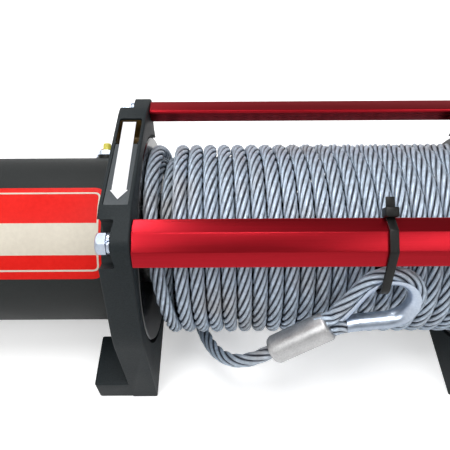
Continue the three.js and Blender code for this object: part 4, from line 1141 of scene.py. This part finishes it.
# %% Finishes for the pieces inside
INSIDE = (
    (copper_wire, [*(f"field_pole_{k}" for k in range(1, 5)), "armature_core", "commutator"]),
    (oiled_bronze, ["gear_side_bushing", "motor_side_bushing", "brush_ring",
                    "upper_brake_shoe", "lower_brake_shoe"]),
    (zinc_plate, ["clutch_pin"]),
)
finish_of = {node: finish for finish, nodes in INSIDE for node in nodes}
for node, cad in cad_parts.items():
    cad.data.materials.clear()
    cad.data.materials.append(finish_of.get(node, machined_steel)[0])
print("finished CAD nodes:", len(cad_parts))

# %% [markdown]
# ## Floor and light
#
# The winch stands on a plain pale floor. Two soft lamps in front, one to each side, and one
# overhead do most of the work, and a small one behind draws a line of light along the upper
# edges. For the camera alone the floor glows a little more with distance, so that it ends in
# white without a horizon. The world is white to the camera and dim as a light. In the metal it is
# white near the horizon, dark higher up and a little paler straight above, as a room is.

# %% The floor, the lamps and the world
FLOOR_SIZE = 8.0
FLOOR_LIFT, LIFT_FROM_TO = 0.4, (0.4, 1.6)
ROOM_TONES = ((0.12, 1.0), (0.55, 0.16), (0.90, 0.10), (0.97, 0.5))


def pale_floor():
    bm = bmesh.new()
    bmesh.ops.create_grid(bm, x_segments=8, y_segments=8, size=FLOOR_SIZE)
    mesh = mesh_from("floor", bm)
    mat, shader = bare_finish("pale_floor", 0.0, 0.6)
    coords = object_coords(mat)
    tone = blend_colours(mat, noise(mat, coords, 3.0, 2.0), (0.93, 0.93, 0.93), (0.95, 0.95, 0.95))
    mat.node_tree.links.new(tone, shader.inputs["Base Color"])
    seen = add_node(mat, "ShaderNodeLightPath").outputs["Is Camera Ray"]
    away = add_node(mat, "ShaderNodeVectorMath", {0: coords}, operation="LENGTH").outputs["Value"]
    lift = maths(mat, "MULTIPLY", seen, remap(mat, away, FLOOR_LIFT, 1.0, *LIFT_FROM_TO))
    mat.node_tree.links.new(lift, shader.inputs["Emission Strength"])
    shader.inputs["Emission Color"].default_value = (1, 1, 1, 1)
    mesh.materials.append(mat)
    add_object("floor", mesh)


def soft_lamp(name, place, aim, wide, high, power):
    data = bpy.data.lights.new(name, "AREA")
    data.shape, data.size, data.size_y, data.energy = "ELLIPSE", wide, high, power
    place, aim = Vector(place), Vector(aim)
    turned = (aim - place).to_track_quat("-Z", "Y").to_matrix().to_4x4()
    add_object(name, data).matrix_world = Matrix.Translation(place) @ turned


def studio_world(strength):
    """White to the camera, the room's tones in the metal, and dim as a light."""
    world = bpy.data.worlds.new("studio")
    scene.world = world
    world.use_nodes = True
    path = add_node(world, "ShaderNodeLightPath").outputs
    coords = add_node(world, "ShaderNodeTexCoord").outputs["Generated"]
    height = add_node(world, "ShaderNodeSeparateXYZ", {"Vector": coords}).outputs["Z"]
    ramp = add_node(world, "ShaderNodeValToRGB", {"Fac": height})
    stops = ramp.color_ramp.elements
    for _ in ROOM_TONES[2:]:
        stops.new(1.0)
    for (place, grey), stop in zip(ROOM_TONES, stops):
        stop.position, stop.color = place, (grey, grey, grey, 1)
    room = ramp.outputs["Color"]
    mirrored = add_node(world, "ShaderNodeMix", {0: path["Is Glossy Ray"], 2: strength, 3: room}).outputs[0]
    seen = maths(world, "MAXIMUM", path["Is Camera Ray"], path["Is Transmission Ray"])
    level = add_node(world, "ShaderNodeMix", {0: seen, 2: mirrored, 3: 1.0}).outputs[0]
    shader = world.node_tree.nodes["Background"]
    world.node_tree.links.new(level, shader.inputs["Strength"])
    shader.inputs["Color"].default_value = (1, 1, 1, 1)


pale_floor()
studio_world(0.28)
soft_lamp("key_left", (-0.62, -0.70, 1.20), (0.0, 0, 0.09), 0.7, 0.6, 5.5)
soft_lamp("key_right", (0.78, -0.72, 1.22), (0.0, 0, 0.09), 0.95, 0.4, 3.2)
soft_lamp("rim", (-0.42, 0.75, 1.10), (-0.05, 0, 0.1), 0.3, 0.3, 4.2)
soft_lamp("top", (0.0, -0.10, 1.45), (0.0, 0, 0.09), 0.6, 0.6, 11.0)
scene.view_settings.view_transform = "Standard"

# %% [markdown]
# ## The free end
#
# This one leaves the winding beside the motor-side flange and ends in the ferrule of its eye.
# It is taut.

# %% Finish
print("scene built")
